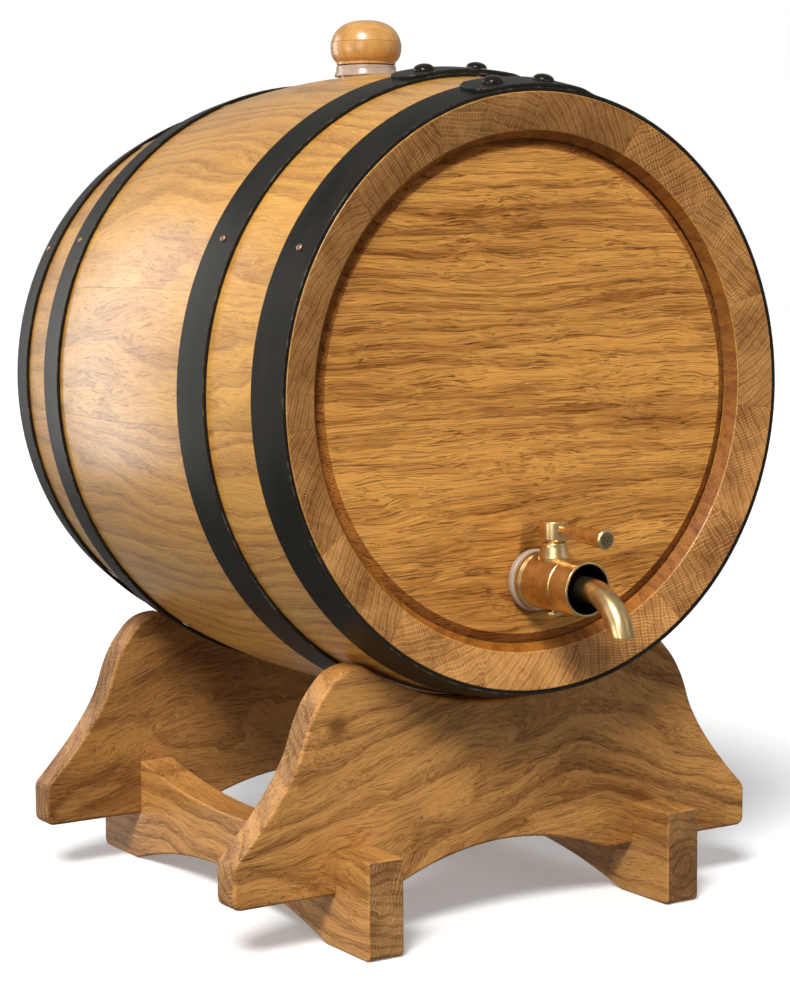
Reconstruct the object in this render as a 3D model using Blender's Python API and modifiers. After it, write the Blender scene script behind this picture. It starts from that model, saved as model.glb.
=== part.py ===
"""A small oak keg with a brass tap and a turned bung, lying on its oak cradle.

World frame: metres, +Z up, the keg's axis along Y, and the tapped head toward -Y. The keg is built in
its own frame, where z runs toward the tapped head and y points up, so each turned piece is a profile
swept about z. Profile points are (radius, height along the axis) and run down the outer side.
"""

import math

import bmesh
import bpy
from mathutils import Matrix, Vector

GAP = 0.0003  # left between two pieces that touch on the real object

# Keg shell
END_RADIUS = 0.0850
BELLY_RADIUS = 0.0945
HALF_LENGTH = 0.0855
CHIME_RADIUS = 0.0745  # inner edge of the end grain ring
CHIME_FALL = 0.0035  # how far that ring slopes in toward the head
LIP_RADIUS = 0.0710  # inner edge of the staves beside the head
BELLY_INNER_RADIUS = 0.0795
CROZE_DEPTH = 0.0022  # how far the head's groove goes in behind the lip
CROZE_EASE = 0.0004  # the groove is this much wider than the head on each side
CROZE_SLOPE = 0.0017  # from the groove's mouth to its full depth
WALL_FOOT = 0.0006  # the sloping wall in front of the head ends this far above it
STAVE_WIDTHS = (24.4, 25.0, 22.9, 23.0, 23.9, 23.6, 23.1, 23.8, 25.1, 25.0, 25.1, 24.3, 23.6, 23.6, 23.6)
FIRST_JOINT = 65.9  # degrees, from +X toward the top
STAVE_STEPS = 4
STAVE_STATIONS = 10
STAVE_INNER_STATIONS = 6

# Heads
HEAD_RECESS = 0.0065
HEAD_THICKNESS = 0.0080
HEAD_FACE_RADIUS = 0.0694
HEAD_BEVEL = 0.0020
HEAD_EDGE_CLEARANCE = 0.0004  # between the head's edge and the bottom of its groove
HEAD_STEPS = 60

# Hoops: one strip each, lapped and riveted. The front two laps are on top, the rear two to the right.
HOOP_THICKNESS = 0.0010
HOOP_WIDTH = 0.0126
CHIME_HOOP_FROM_END = 0.0002
QUARTER_HOOP_FROM_END = 0.0336
HOOP_STEP = 5.0
LAP_CENTRES = (93.3, 93.3, 57.0, 57.0)
LAP_HALF_ANGLE = 11.2
LAP_RAMP = 4.5  # the turn in which the outer layer climbs onto the inner one
LAP_LANDING = 0.5  # it has climbed this far before the inner layer's end
LAP_STATIONS = 4
TONGUE_TAPER = 2.2
TONGUE_TIP_WIDTH = 0.0070
RIVET_OFFSET = 5.7
RIVET_HEAD_RADIUS = 0.0031
RIVET_HEAD_HEIGHT = 0.0018
RIVET_RADIUS = 0.0014
NAIL_ANGLES = (28.6, 151.4)
NAIL_HEAD_RADIUS = 0.0011
NAIL_HEAD_HEIGHT = 0.0006
NAIL_RADIUS = 0.0006
NAIL_LENGTH = 0.0090
NAIL_POINT = 0.0020
DOME_STATIONS = 4

# Bung and its sleeve, heights above the belly
BUNG_BEHIND_MIDDLE = 0.0090
BUNG_HOLE_RADIUS = 0.0088
SEAL_RADIUS = 0.0085
SEAL_BORE = 0.0069
SEAL_DEPTH = 0.0115
COLLAR_FOOT_RADIUS = 0.0099
COLLAR_TOP_RADIUS = 0.0093
COLLAR_HEIGHT = 0.0031
COLLAR_LIP = 0.0012  # the straight band round the collar's top
COLLAR_FOOT_EDGE = 0.0004
SEAL_TAPER = 0.0003
KNOB_RADIUS = 0.0111
KNOB_WIDEST = 0.0090
KNOB_TOP = 0.0175
KNOB_CROWN_HANDLE = (0.0098, 0.0177)
KNOB_WAIST_HANDLE = (0.0111, 0.0056)
BUNG_NECK_RADIUS = 0.0092
BUNG_SHANK_RADIUS = 0.0066
BUNG_TIP_RADIUS = 0.0058
BUNG_NECK_BAND = 0.0010
BUNG_DEPTH = 0.0150

# Tap, z measured forward from the head's outer face
TAP_BELOW_AXIS = 0.0538
WASHER_RADIUS = 0.0090
WASHER_THICKNESS = 0.0023
WASHER_EDGE = 0.0005
TAP_RADIUS = 0.0078
FLANGE_RADIUS = 0.0084
FLANGE_THICKNESS = 0.0018
TAP_FRONT = 0.0265
TAP_EDGE = 0.0003
SHANK_HOLE_RADIUS = 0.0050
SHANK_RADIUS = 0.0049
SHANK_BACK = -0.0165
SHANK_CHAMFER = 0.0008
WATERWAY_RADIUS = 0.0022
MOUTH_RADIUS = 0.0071
MOUTH_DEPTH = 0.0080
NUT_ACROSS_FLATS = 0.0150
NUT_THICKNESS = 0.0050
KEY_FORWARD = 0.0105
BOSS_TOP = 0.0118
BOSS_FOOT = 0.0082
BOSS_ROOT = 0.0020  # inside the tap's body
BOSS_FOOT_RADIUS = 0.0043
BOSS_TOP_RADIUS = 0.0036
PLUG_RADIUS = 0.0026
KEY_HEAD_RADIUS = 0.0041
KEY_HEAD_CHAMFER = 0.0008
KEY_TOP = 0.0180
KEY_BOTTOM = -0.0070
KEY_EDGE = 0.0003
KEY_BORE_BOTTOM = -0.0120  # clear through the underside of the tap's body
KEY_WATERWAY_RADIUS = 0.0016
LEVER_HEIGHT = 0.0157
LEVER_LENGTH = 0.0245
LEVER_DROOP = 2.0  # degrees below level
LEVER_ROOT_RADIUS = 0.0014
LEVER_ROOT = 0.0043  # from the key's axis to the lever's shoulder
LEVER_TIP_RADIUS = 0.0029
LEVER_SOCKET_RADIUS = 0.0013
LEVER_SOCKET_FLOOR = 0.0012
LEVER_STUD_RADIUS = 0.0010
SCREW_HEAD_RADIUS = 0.0026
SCREW_HEAD_HEIGHT = 0.0012
SCREW_HEAD_CHAMFER = 0.0004
SCREW_RADIUS = 0.0010
SCREW_LENGTH = 0.0035
SPOUT_RADIUS = 0.0035
SPOUT_BORE = 0.0028
SPOUT_SOCKET_DEPTH = 0.0022
SPOUT_BEND_START = 0.0270
SPOUT_BEND_RADIUS = 0.0150
SPOUT_BEND = 74.0
SPOUT_BEND_STEPS = 10
SPOUT_TAIL = 0.0040  # straight run after the bend, mostly cut away by the level lip
SPOUT_DROP = 0.0113
CUT_MARGIN = 0.0010  # how far a cutter runs past the surface it opens

# Cradle, heights above the surface it stands on
AXIS_HEIGHT = 0.1566
BOARD_THICKNESS = 0.0100
BOARD_FRONT = 0.0658  # outer face, from the keg's mid-length
BOARD_HALF_WIDTH = 0.0922
BOARD_BOTTOM = 0.0156
FOOT_TOP = 0.0284
FOOT_SHOULDER = 0.0020  # how far the rounding of the foot's top runs along each side of its corner
FOOT_ROUNDING = 0.0030  # the same at the foot's lower corner
FOOT_HANDLE = (0.0728, 0.0478)
WAIST = (0.0692, 0.0600)
HORN_HANDLE = (0.0663, 0.0698)
HORN_TIP = (0.0610, 0.0752)
HORN_CREST = (0.0075, 0.0004)  # from the saddle's end to the handle of the horn's top
SADDLE_HALF_ANGLE = 32.8
ARCH_HALF_WIDTH = 0.0370
ARCH_RISE = 0.0080
RAIL_SPACING = 0.0532  # from the middle plane to a rail's middle
RAIL_WIDTH = 0.0118
RAIL_HALF_LENGTH = 0.0831
RAIL_HEIGHT = 0.0286  # at its ends, outside the boards
RAIL_SHOULDER = 0.0329  # just inside the boards
RAIL_DIP = 0.0063  # from the shoulders down to the middle
RAIL_ARCH_RISE = 0.0095
RAIL_ARCH_HALF_WIDTH = 0.0600
RAIL_TOE_ROUNDING = 0.0022
HALVING_HEIGHT = 0.0228  # where a rail's notch meets a board's notch
EDGE_ROUNDING = 0.0007

# The origin is under the middle of the whole object, spout included.
SPOUT_REACH = 0.0452  # the spout's lip, in front of the head
KEG_Y = (SPOUT_REACH - HEAD_RECESS) / 2

MATERIALS = {
    "oak_staves": ((0.52, 0.30, 0.13), 0.42, 0.0),
    "oak_heads": ((0.50, 0.28, 0.11), 0.48, 0.0),
    "oak_cradle": ((0.46, 0.26, 0.11), 0.50, 0.0),
    "bung_wood": ((0.78, 0.48, 0.20), 0.22, 0.0),
    "hoop_steel": ((0.025, 0.027, 0.028), 0.42, 0.3),
    "nail_copper": ((0.33, 0.20, 0.14), 0.45, 0.9),
    "brass": ((0.55, 0.37, 0.16), 0.30, 1.0),
    "silicone": ((0.85, 0.82, 0.82), 0.30, 0.0),
}


def clear_scene():
    for obj in list(bpy.data.objects):
        bpy.data.objects.remove(obj, do_unlink=True)


def make_collection(name):
    collection = bpy.data.collections.new(name)
    bpy.context.scene.collection.children.link(collection)
    return collection


def make_materials():
    for name, (colour, roughness, metallic) in MATERIALS.items():
        material = bpy.data.materials.new(name)
        material.use_nodes = True
        shader = material.node_tree.nodes["Principled BSDF"]
        shader.inputs["Base Color"].default_value = (*colour, 1.0)
        shader.inputs["Roughness"].default_value = roughness
        shader.inputs["Metallic"].default_value = metallic
        material.diffuse_color = (*colour, 1.0)


def empty(name, parent=None, location=(0, 0, 0), rotation=(0, 0, 0)):
    obj = bpy.data.objects.new(name, None)
    PARTS.objects.link(obj)
    obj.parent = parent
    obj.location = location
    obj.rotation_euler = [math.radians(angle) for angle in rotation]
    return obj


def add(name, data, material, parent, smooth=True):
    obj = bpy.data.objects.new(name, data)
    PARTS.objects.link(obj)
    obj.parent = parent
    data.materials.append(bpy.data.materials[material])
    if smooth and isinstance(data, bpy.types.Mesh):
        data.set_sharp_from_angle(angle=math.radians(35))
    return obj


def mesh_of(bm, name):
    bmesh.ops.recalc_face_normals(bm, faces=bm.faces)
    for face in bm.faces:
        face.smooth = True
    mesh = bpy.data.meshes.new(name)
    bm.to_mesh(mesh)
    bm.free()
    return mesh


def screw(obj, steps):
    modifier = obj.modifiers.new("turn", "SCREW")
    modifier.axis = "Z"
    modifier.steps = steps
    modifier.render_steps = steps
    modifier.use_smooth_shade = True
    modifier.use_merge_vertices = True
    modifier.merge_threshold = 0.00001


def outline_mesh(name, points, closed):
    """The profile that a Screw modifier turns: a chain of edges in the xz plane."""
    edges = [(i, i + 1) for i in range(len(points) - 1)]
    if closed:
        edges.append((len(points) - 1, 0))
    mesh = bpy.data.meshes.new(name)
    mesh.from_pydata([(radius, 0, height) for radius, height in points], edges, [])
    return mesh


def turned(name, points, material, parent, steps=32, closed=False):
    """A turned piece. Its outline runs from the axis down to the axis, or is closed round a ring."""
    obj = add(name, outline_mesh(name, points, closed), material, parent, smooth=False)
    screw(obj, steps)
    return obj


def cylinder_cutter(name, parent, radius, bottom, top, location=(0, 0, 0), rotation=(0, 0, 0), sides=20):
    bm = bmesh.new()
    bmesh.ops.create_cone(
        bm, cap_ends=True, segments=sides, radius1=radius, radius2=radius, depth=top - bottom
    )
    bmesh.ops.translate(bm, verts=bm.verts, vec=(0, 0, (top + bottom) / 2))
    mesh = bpy.data.meshes.new(name)
    bm.to_mesh(mesh)
    bm.free()
    cutter = bpy.data.objects.new(name, mesh)
    CUTTERS.objects.link(cutter)
    cutter.parent = parent
    cutter.location = location
    cutter.rotation_euler = [math.radians(angle) for angle in rotation]
    cutter.hide_render = True
    cutter.display_type = "WIRE"
    return cutter


def boolean(obj, other, operation="DIFFERENCE"):
    modifier = obj.modifiers.new(other.name, "BOOLEAN")
    modifier.operation = operation
    modifier.object = other
    modifier.solver = "EXACT"


def bezier(start, handle, end, count=6):
    """Points of a quadratic curve, without its first one."""
    points = []
    for i in range(1, count + 1):
        t = i / count
        points.append(
            tuple(
                a * (1 - t) ** 2 + 2 * b * t * (1 - t) + c * t * t for a, b, c in zip(start, handle, end)
            )
        )
    return points


def shell_radius(z):
    return BELLY_RADIUS - (BELLY_RADIUS - END_RADIUS) * (z / HALF_LENGTH) ** 2


# Keg ----------------------------------------------------------------------------------------------


def stave_outline():
    """(radius, z) of a stave's edge, down its outside and back up its inside."""
    count = STAVE_STATIONS
    outer = [HALF_LENGTH * (1 - 2 * i / count) for i in range(count + 1)]
    points = [(shell_radius(z), z) for z in outer]
    face = HALF_LENGTH - HEAD_RECESS
    back = face - HEAD_THICKNESS
    groove = LIP_RADIUS + CROZE_DEPTH
    end = [
        (CHIME_RADIUS, HALF_LENGTH - CHIME_FALL),
        (LIP_RADIUS, face + WALL_FOOT),
        (LIP_RADIUS, face - CROZE_EASE),
        (groove, face - CROZE_SLOPE),
        (groove, back + CROZE_SLOPE),
        (LIP_RADIUS, back + CROZE_EASE),
    ]
    inner_half = back - CROZE_EASE
    points += [(radius, -z) for radius, z in end]
    for i in range(STAVE_INNER_STATIONS + 1):
        z = inner_half * (2 * i / STAVE_INNER_STATIONS - 1)
        bulge = (BELLY_INNER_RADIUS - LIP_RADIUS) * (1 - (z / inner_half) ** 2)
        points.append((LIP_RADIUS + bulge, z))
    return points + end[::-1]


def make_stave(name, start, width, parent):
    margin = math.degrees(GAP / 2 / LIP_RADIUS)
    turn = Matrix.Rotation(math.radians(start + margin), 4, "Z")
    bm = bmesh.new()
    verts = [bm.verts.new(turn @ Vector((radius, 0, z))) for radius, z in stave_outline()]
    edge_face = bm.faces.new(verts)
    bmesh.ops.spin(
        bm,
        geom=[edge_face],
        cent=(0, 0, 0),
        axis=(0, 0, 1),
        angle=math.radians(width - 2 * margin),
        steps=STAVE_STEPS,
        use_duplicate=False,
    )
    return add(name, mesh_of(bm, name), "oak_staves", parent)


def make_staves(parent):
    """The staves, and the angles at which each one starts and ends."""
    staves = []
    start = FIRST_JOINT
    for number, width in enumerate(STAVE_WIDTHS, 1):
        stave = make_stave(f"stave_{number:02d}", start, width, parent)
        staves.append((stave, start, start + width))
        start += width
    return staves


def stave_at(staves, angle):
    for stave, start, end in staves:
        if start < angle < end or start < angle + 360 < end:
            return stave
    return None


def head_outline():
    """One head, its outer face at z = 0 and its edge thinned to fit the croze."""
    edge = LIP_RADIUS + CROZE_DEPTH - HEAD_EDGE_CLEARANCE
    return [
        (0, 0),
        (HEAD_FACE_RADIUS, 0),
        (edge, -HEAD_BEVEL),
        (edge, HEAD_BEVEL - HEAD_THICKNESS),
        (HEAD_FACE_RADIUS, -HEAD_THICKNESS),
        (0, -HEAD_THICKNESS),
    ]


def make_heads(parent):
    face = HALF_LENGTH - HEAD_RECESS
    front = turned("head_front", head_outline(), "oak_heads", parent, HEAD_STEPS)
    front.location.z = face
    rear = turned("head_rear", head_outline(), "oak_heads", parent, HEAD_STEPS)
    rear.location.z = -face
    rear.rotation_euler.x = math.pi
    return front


def hoop_path(lap_centre):
    """(angle, lift, width) along a hoop's strip, from its hidden end round to its tongue."""
    lift = HOOP_THICKNESS + GAP
    first = lap_centre - LAP_HALF_ANGLE
    ramp_start = first + 360 - LAP_RAMP
    steps = round((ramp_start - first) / HOOP_STEP)
    path = [(first + (ramp_start - first) * i / steps, 0, HOOP_WIDTH) for i in range(steps + 1)]
    lap = 2 * LAP_HALF_ANGLE - TONGUE_TAPER
    for i in range(LAP_STATIONS + 1):
        along = (lap + LAP_LANDING) * i / LAP_STATIONS - LAP_LANDING
        path.append((first + 360 + along, lift, HOOP_WIDTH))
    path.append((first + 360 + lap + TONGUE_TAPER, lift, TONGUE_TIP_WIDTH))
    return path


def hoop_section(middle, angle, lift, width):
    """The four corners of the strip at one angle, lying on the staves' slope."""
    corners = []
    for side, rise in ((-0.5, 0), (0.5, 0), (0.5, HOOP_THICKNESS), (-0.5, HOOP_THICKNESS)):
        z = middle + side * width
        radius = shell_radius(z) + GAP + lift + rise
        corners.append(Matrix.Rotation(math.radians(angle), 3, "Z") @ Vector((radius, 0, z)))
    return corners


def make_hoop(name, middle, lap_centre, parent):
    path = hoop_path(lap_centre)
    bm = bmesh.new()
    face = bm.faces.new([bm.verts.new(corner) for corner in hoop_section(middle, *path[0])])
    for number, station in enumerate(path[1:]):
        grown = bmesh.ops.extrude_face_region(bm, geom=[face], use_keep_orig=True)
        if number:
            bm.faces.remove(face)
        face = next(item for item in grown["geom"] if isinstance(item, bmesh.types.BMFace))
        for vert, place in zip(face.verts, hoop_section(middle, *station)):
            vert.co = place
    return add(name, mesh_of(bm, name), "hoop_steel", parent)


def dome(radius, height, bottom):
    """Outline points of a low dome, from its top down to its rim."""
    points = []
    for i in range(DOME_STATIONS + 1):
        angle = math.pi / 2 * i / DOME_STATIONS
        points.append((radius * math.sin(angle), bottom + height * math.cos(angle)))
    return points


def hoop_frame(name, parent, angle, z):
    """An empty under the hoop at this angle whose z axis points out square to the hoop's slope."""
    radius = shell_radius(z) + GAP
    spin = Matrix.Rotation(math.radians(angle), 3, "Z")
    slope = 2 * (BELLY_RADIUS - END_RADIUS) * z / HALF_LENGTH**2
    frame = empty(name, parent, spin @ Vector((radius, 0, z)))
    frame.rotation_mode = "QUATERNION"
    frame.rotation_quaternion = (spin @ Vector((1, 0, slope))).to_track_quat("Z", "Y")
    return frame


def make_rivet(number, index, hoop, middle, angle, parent):
    """A lap rivet: a domed head on the outer layer and a shank that goes through both layers."""
    name = f"hoop_{number}_rivet_{index}"
    frame = hoop_frame(name + "_frame", parent, angle, middle)
    seat = 2 * HOOP_THICKNESS + 2 * GAP
    outline = dome(RIVET_HEAD_RADIUS, RIVET_HEAD_HEIGHT, seat)
    outline += [(RIVET_RADIUS, seat), (RIVET_RADIUS, GAP / 2), (0, GAP / 2)]
    turned(name, outline, "hoop_steel", frame, 12)
    hole = cylinder_cutter(
        name + "_hole", frame, RIVET_RADIUS + GAP, -CUT_MARGIN, seat + CUT_MARGIN, sides=12
    )
    boolean(hoop, hole)


def make_nail(number, index, hoop, stave, middle, angle, parent):
    """A small nail that goes through the hoop into a stave."""
    name = f"hoop_{number}_nail_{index}"
    frame = hoop_frame(name + "_frame", parent, angle, middle)
    seat = HOOP_THICKNESS + GAP / 2
    outline = dome(NAIL_HEAD_RADIUS, NAIL_HEAD_HEIGHT, seat)
    outline += [(NAIL_RADIUS, seat), (NAIL_RADIUS, NAIL_POINT - NAIL_LENGTH), (0, -NAIL_LENGTH)]
    turned(name, outline, "nail_copper", frame, 8)
    hole = cylinder_cutter(
        name + "_hole", frame, NAIL_RADIUS + GAP, -NAIL_LENGTH - 2 * GAP, seat + CUT_MARGIN, sides=8
    )
    boolean(hoop, hole)
    boolean(stave, hole)


def make_hoops(staves, parent):
    chime = HALF_LENGTH - CHIME_HOOP_FROM_END - HOOP_WIDTH / 2
    quarter = HALF_LENGTH - QUARTER_HOOP_FROM_END - HOOP_WIDTH / 2
    middles = (chime, quarter, -quarter, -chime)
    for number, (middle, lap_centre) in enumerate(zip(middles, LAP_CENTRES), 1):
        hoop = make_hoop(f"hoop_{number}", middle, lap_centre, parent)
        for index, side in enumerate((-1, 1), 1):
            make_rivet(number, index, hoop, middle, lap_centre + side * RIVET_OFFSET, parent)
        for index, angle in enumerate(NAIL_ANGLES, 1):
            make_nail(number, index, hoop, stave_at(staves, angle), middle, angle, parent)


# Bung ---------------------------------------------------------------------------------------------


def bung_outline():
    """Down the knob, in at its neck and down the shank."""
    neck = COLLAR_HEIGHT + 2 * GAP
    points = [(0, KNOB_TOP)]
    widest = (KNOB_RADIUS, KNOB_WIDEST)
    points += bezier((0, KNOB_TOP), KNOB_CROWN_HANDLE, widest, 7)
    points += bezier(widest, KNOB_WAIST_HANDLE, (BUNG_NECK_RADIUS, neck + BUNG_NECK_BAND), 5)
    points += [
        (BUNG_NECK_RADIUS, neck),
        (BUNG_SHANK_RADIUS, neck),
        (BUNG_SHANK_RADIUS, 0.0),
        (BUNG_TIP_RADIUS, -BUNG_DEPTH),
        (0, -BUNG_DEPTH),
    ]
    return points


def seal_outline():
    """The sleeve's collar above the hole, its tube inside the hole, and its bore."""
    foot = GAP
    top = COLLAR_HEIGHT + GAP
    return [
        (SEAL_BORE, top),
        (COLLAR_TOP_RADIUS, top),
        (COLLAR_TOP_RADIUS, top - COLLAR_LIP),
        (COLLAR_FOOT_RADIUS, foot + COLLAR_FOOT_EDGE),
        (COLLAR_FOOT_RADIUS, foot),
        (SEAL_RADIUS, foot),
        (SEAL_RADIUS - SEAL_TAPER, foot - SEAL_DEPTH),
        (SEAL_BORE, foot - SEAL_DEPTH),
    ]


def make_bung(staves, keg):
    frame = empty("bung_axis", keg, (0, BELLY_RADIUS, -BUNG_BEHIND_MIDDLE), (-90, 0, 0))
    turned("bung", bung_outline(), "bung_wood", frame, 28)
    turned("bung_seal", seal_outline(), "silicone", frame, 28, closed=True)
    bottom = -2 * (BELLY_RADIUS - BELLY_INNER_RADIUS)
    hole = cylinder_cutter("bung_hole", frame, BUNG_HOLE_RADIUS, bottom, COLLAR_HEIGHT, sides=28)
    reach = math.degrees(BUNG_HOLE_RADIUS / BELLY_RADIUS)
    for stave, start, end in staves:
        if start < 90 + reach and end > 90 - reach:
            boolean(stave, hole)


# Tap ----------------------------------------------------------------------------------------------


def tap_outline():
    """Down the tap's body from its mouth to the inner end of its shank."""
    foot = WASHER_THICKNESS + 2 * GAP
    return [
        (0, TAP_FRONT),
        (TAP_RADIUS - TAP_EDGE, TAP_FRONT),
        (TAP_RADIUS, TAP_FRONT - TAP_EDGE),
        (TAP_RADIUS, foot + FLANGE_THICKNESS + TAP_EDGE),
        (FLANGE_RADIUS, foot + FLANGE_THICKNESS),
        (FLANGE_RADIUS, foot),
        (SHANK_RADIUS, foot),
        (SHANK_RADIUS, SHANK_BACK + SHANK_CHAMFER),
        (SHANK_RADIUS - SHANK_CHAMFER, SHANK_BACK),
        (0, SHANK_BACK),
    ]


def make_boss(key_axis):
    """The flared neck that the key turns in, joined to the tap's body."""
    outline = [
        (0, BOSS_TOP),
        (BOSS_TOP_RADIUS, BOSS_TOP),
        (BOSS_FOOT_RADIUS, BOSS_FOOT),
        (BOSS_FOOT_RADIUS, BOSS_ROOT),
        (0, BOSS_ROOT),
    ]
    boss = turned("tap_boss_shape", outline, "brass", key_axis, 28)
    PARTS.objects.unlink(boss)
    CUTTERS.objects.link(boss)
    boss.hide_render = True
    boss.display_type = "WIRE"
    return boss


def make_tap_body(tap, key_axis):
    body = turned("tap_body", tap_outline(), "brass", tap, 32)
    boolean(body, make_boss(key_axis), "UNION")
    mouth = TAP_FRONT - MOUTH_DEPTH
    socket = mouth - SPOUT_SOCKET_DEPTH
    for name, radius, bottom, top in (
        ("tap_mouth", MOUTH_RADIUS, mouth, TAP_FRONT + CUT_MARGIN),
        ("tap_spout_socket", SPOUT_RADIUS + GAP, socket, mouth + CUT_MARGIN),
        ("tap_waterway", WATERWAY_RADIUS, SHANK_BACK - CUT_MARGIN, socket + CUT_MARGIN),
    ):
        boolean(body, cylinder_cutter(name, tap, radius, bottom, top, sides=28))
    bore = cylinder_cutter(
        "tap_key_bore", key_axis, PLUG_RADIUS + GAP, KEY_BORE_BOTTOM, BOSS_TOP + CUT_MARGIN, sides=28
    )
    boolean(body, bore)


def make_washer(tap):
    bore = SHANK_HOLE_RADIUS + GAP
    top = GAP + WASHER_THICKNESS
    outline = [
        (bore, top),
        (WASHER_RADIUS - WASHER_EDGE, top),
        (WASHER_RADIUS, top - WASHER_EDGE),
        (WASHER_RADIUS, GAP + WASHER_EDGE),
        (WASHER_RADIUS - WASHER_EDGE, GAP),
        (bore, GAP),
    ]
    turned("tap_washer", outline, "silicone", tap, 32, closed=True)


def make_nut(tap):
    """The hexagon nut that pulls the tap against the head from inside."""
    top = -HEAD_THICKNESS - GAP
    bottom = top - NUT_THICKNESS
    bm = bmesh.new()
    corner = NUT_ACROSS_FLATS / 2 / math.cos(math.pi / 6)
    bmesh.ops.create_cone(
        bm, cap_ends=True, segments=6, radius1=corner, radius2=corner, depth=NUT_THICKNESS
    )
    bmesh.ops.translate(bm, verts=bm.verts, vec=(0, 0, (top + bottom) / 2))
    mesh = bpy.data.meshes.new("tap_nut")
    bm.to_mesh(mesh)
    bm.free()
    nut = add("tap_nut", mesh, "brass", tap)
    bore = cylinder_cutter(
        "tap_nut_bore", tap, SHANK_HOLE_RADIUS + GAP, bottom - CUT_MARGIN, top + CUT_MARGIN, sides=28
    )
    boolean(nut, bore)


def spout_path():
    """(forward, down) along the spout's middle line: straight out of the mouth, then bent down."""
    start = TAP_FRONT - MOUTH_DEPTH - SPOUT_SOCKET_DEPTH + GAP
    points = [(start, 0), (SPOUT_BEND_START, 0)]
    for i in range(1, SPOUT_BEND_STEPS + 1):
        angle = math.radians(SPOUT_BEND * i / SPOUT_BEND_STEPS)
        forward = SPOUT_BEND_START + SPOUT_BEND_RADIUS * math.sin(angle)
        points.append((forward, SPOUT_BEND_RADIUS * (1 - math.cos(angle))))
    forward, down = points[-1]
    points.append((forward + SPOUT_TAIL * math.cos(angle), down + SPOUT_TAIL * math.sin(angle)))
    return points


def make_spout(tap):
    """The bent spout: an open tube skin given its wall, with its end cut off level."""
    path = spout_path()
    curve = bpy.data.curves.new("tap_spout_path", "CURVE")
    curve.dimensions = "3D"
    curve.bevel_depth = SPOUT_RADIUS
    curve.bevel_resolution = 6
    spline = curve.splines.new("POLY")
    spline.points.add(len(path) - 1)
    for point, (forward, down) in zip(spline.points, path):
        point.co = (0, -down, forward, 1)
    source = bpy.data.objects.new("tap_spout_path", curve)
    PARTS.objects.link(source)
    bpy.context.view_layer.update()
    graph = bpy.context.evaluated_depsgraph_get()
    mesh = bpy.data.meshes.new_from_object(source.evaluated_get(graph))
    bpy.data.objects.remove(source, do_unlink=True)
    spout = add("tap_spout", mesh, "brass", tap)
    wall = spout.modifiers.new("wall", "SOLIDIFY")
    wall.thickness = SPOUT_RADIUS - SPOUT_BORE
    wall.offset = -1
    reach = 3 * SPOUT_TAIL
    level = cylinder_cutter(
        "tap_spout_level_cut", tap, reach, 0, reach, (0, -SPOUT_DROP, path[-1][0]), (90, 0, 0), sides=8
    )
    boolean(spout, level)


def make_key(key_axis):
    """The tapered key: its head, its plug with the waterway through it, and its screw."""
    seat = BOSS_TOP + GAP
    outline = [
        (0, KEY_TOP),
        (KEY_HEAD_RADIUS - KEY_EDGE, KEY_TOP),
        (KEY_HEAD_RADIUS, KEY_TOP - KEY_EDGE),
        (KEY_HEAD_RADIUS, seat + KEY_HEAD_CHAMFER),
        (KEY_HEAD_RADIUS - KEY_HEAD_CHAMFER, seat),
        (PLUG_RADIUS, seat),
        (PLUG_RADIUS, KEY_BOTTOM),
        (0, KEY_BOTTOM),
    ]
    key = turned("tap_key", outline, "brass", key_axis, 32)
    through = 2 * PLUG_RADIUS
    tapping = KEY_BOTTOM + SCREW_LENGTH
    for name, radius, bottom, top, height, tilt in (
        ("key_waterway", KEY_WATERWAY_RADIUS, -through, through, 0, 90),
        ("key_lever_socket", LEVER_SOCKET_RADIUS, LEVER_SOCKET_FLOOR, through, LEVER_HEIGHT, 90 + LEVER_DROOP),
        ("key_screw_hole", SCREW_RADIUS + GAP, KEY_BOTTOM - CUT_MARGIN, tapping, 0, 0),
    ):
        cutter = cylinder_cutter(name, key_axis, radius, bottom, top, (0, 0, height), (tilt, 0, 0), 16)
        boolean(key, cutter)


def make_lever(key_axis):
    """The tapered lever, screwed into the key's head and pointing forward and a little down."""
    frame = empty("lever_axis", key_axis, (0, 0, LEVER_HEIGHT), (90 + LEVER_DROOP, 0, 0))
    stud = LEVER_SOCKET_FLOOR + GAP
    outline = [
        (0, LEVER_LENGTH),
        (LEVER_TIP_RADIUS - KEY_EDGE, LEVER_LENGTH),
        (LEVER_TIP_RADIUS, LEVER_LENGTH - KEY_EDGE),
        (LEVER_ROOT_RADIUS, LEVER_ROOT),
        (LEVER_STUD_RADIUS, LEVER_ROOT),
        (LEVER_STUD_RADIUS, stud),
        (0, stud),
    ]
    turned("tap_lever", outline, "brass", frame, 28)


def make_key_screw(key_axis):
    seat = -TAP_RADIUS - GAP
    tip = KEY_BOTTOM + SCREW_LENGTH - GAP
    end = seat - SCREW_HEAD_HEIGHT
    outline = [
        (0, tip),
        (SCREW_RADIUS, tip),
        (SCREW_RADIUS, seat),
        (SCREW_HEAD_RADIUS, seat),
        (SCREW_HEAD_RADIUS, end + SCREW_HEAD_CHAMFER),
        (SCREW_HEAD_RADIUS - SCREW_HEAD_CHAMFER, end),
        (0, end),
    ]
    turned("tap_key_screw", outline, "brass", key_axis, 20)


def make_tap(keg, head_front):
    tap = empty("tap_axis", keg, (0, -TAP_BELOW_AXIS, HALF_LENGTH - HEAD_RECESS))
    key_axis = empty("tap_key_axis", tap, (0, 0, KEY_FORWARD), (-90, 0, 0))
    bottom = -HEAD_THICKNESS - CUT_MARGIN
    hole = cylinder_cutter("head_tap_hole", tap, SHANK_HOLE_RADIUS + GAP, bottom, CUT_MARGIN, sides=28)
    boolean(head_front, hole)
    make_tap_body(tap, key_axis)
    make_washer(tap)
    make_nut(tap)
    make_spout(tap)
    make_key(key_axis)
    make_lever(key_axis)
    make_key_screw(key_axis)


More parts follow.
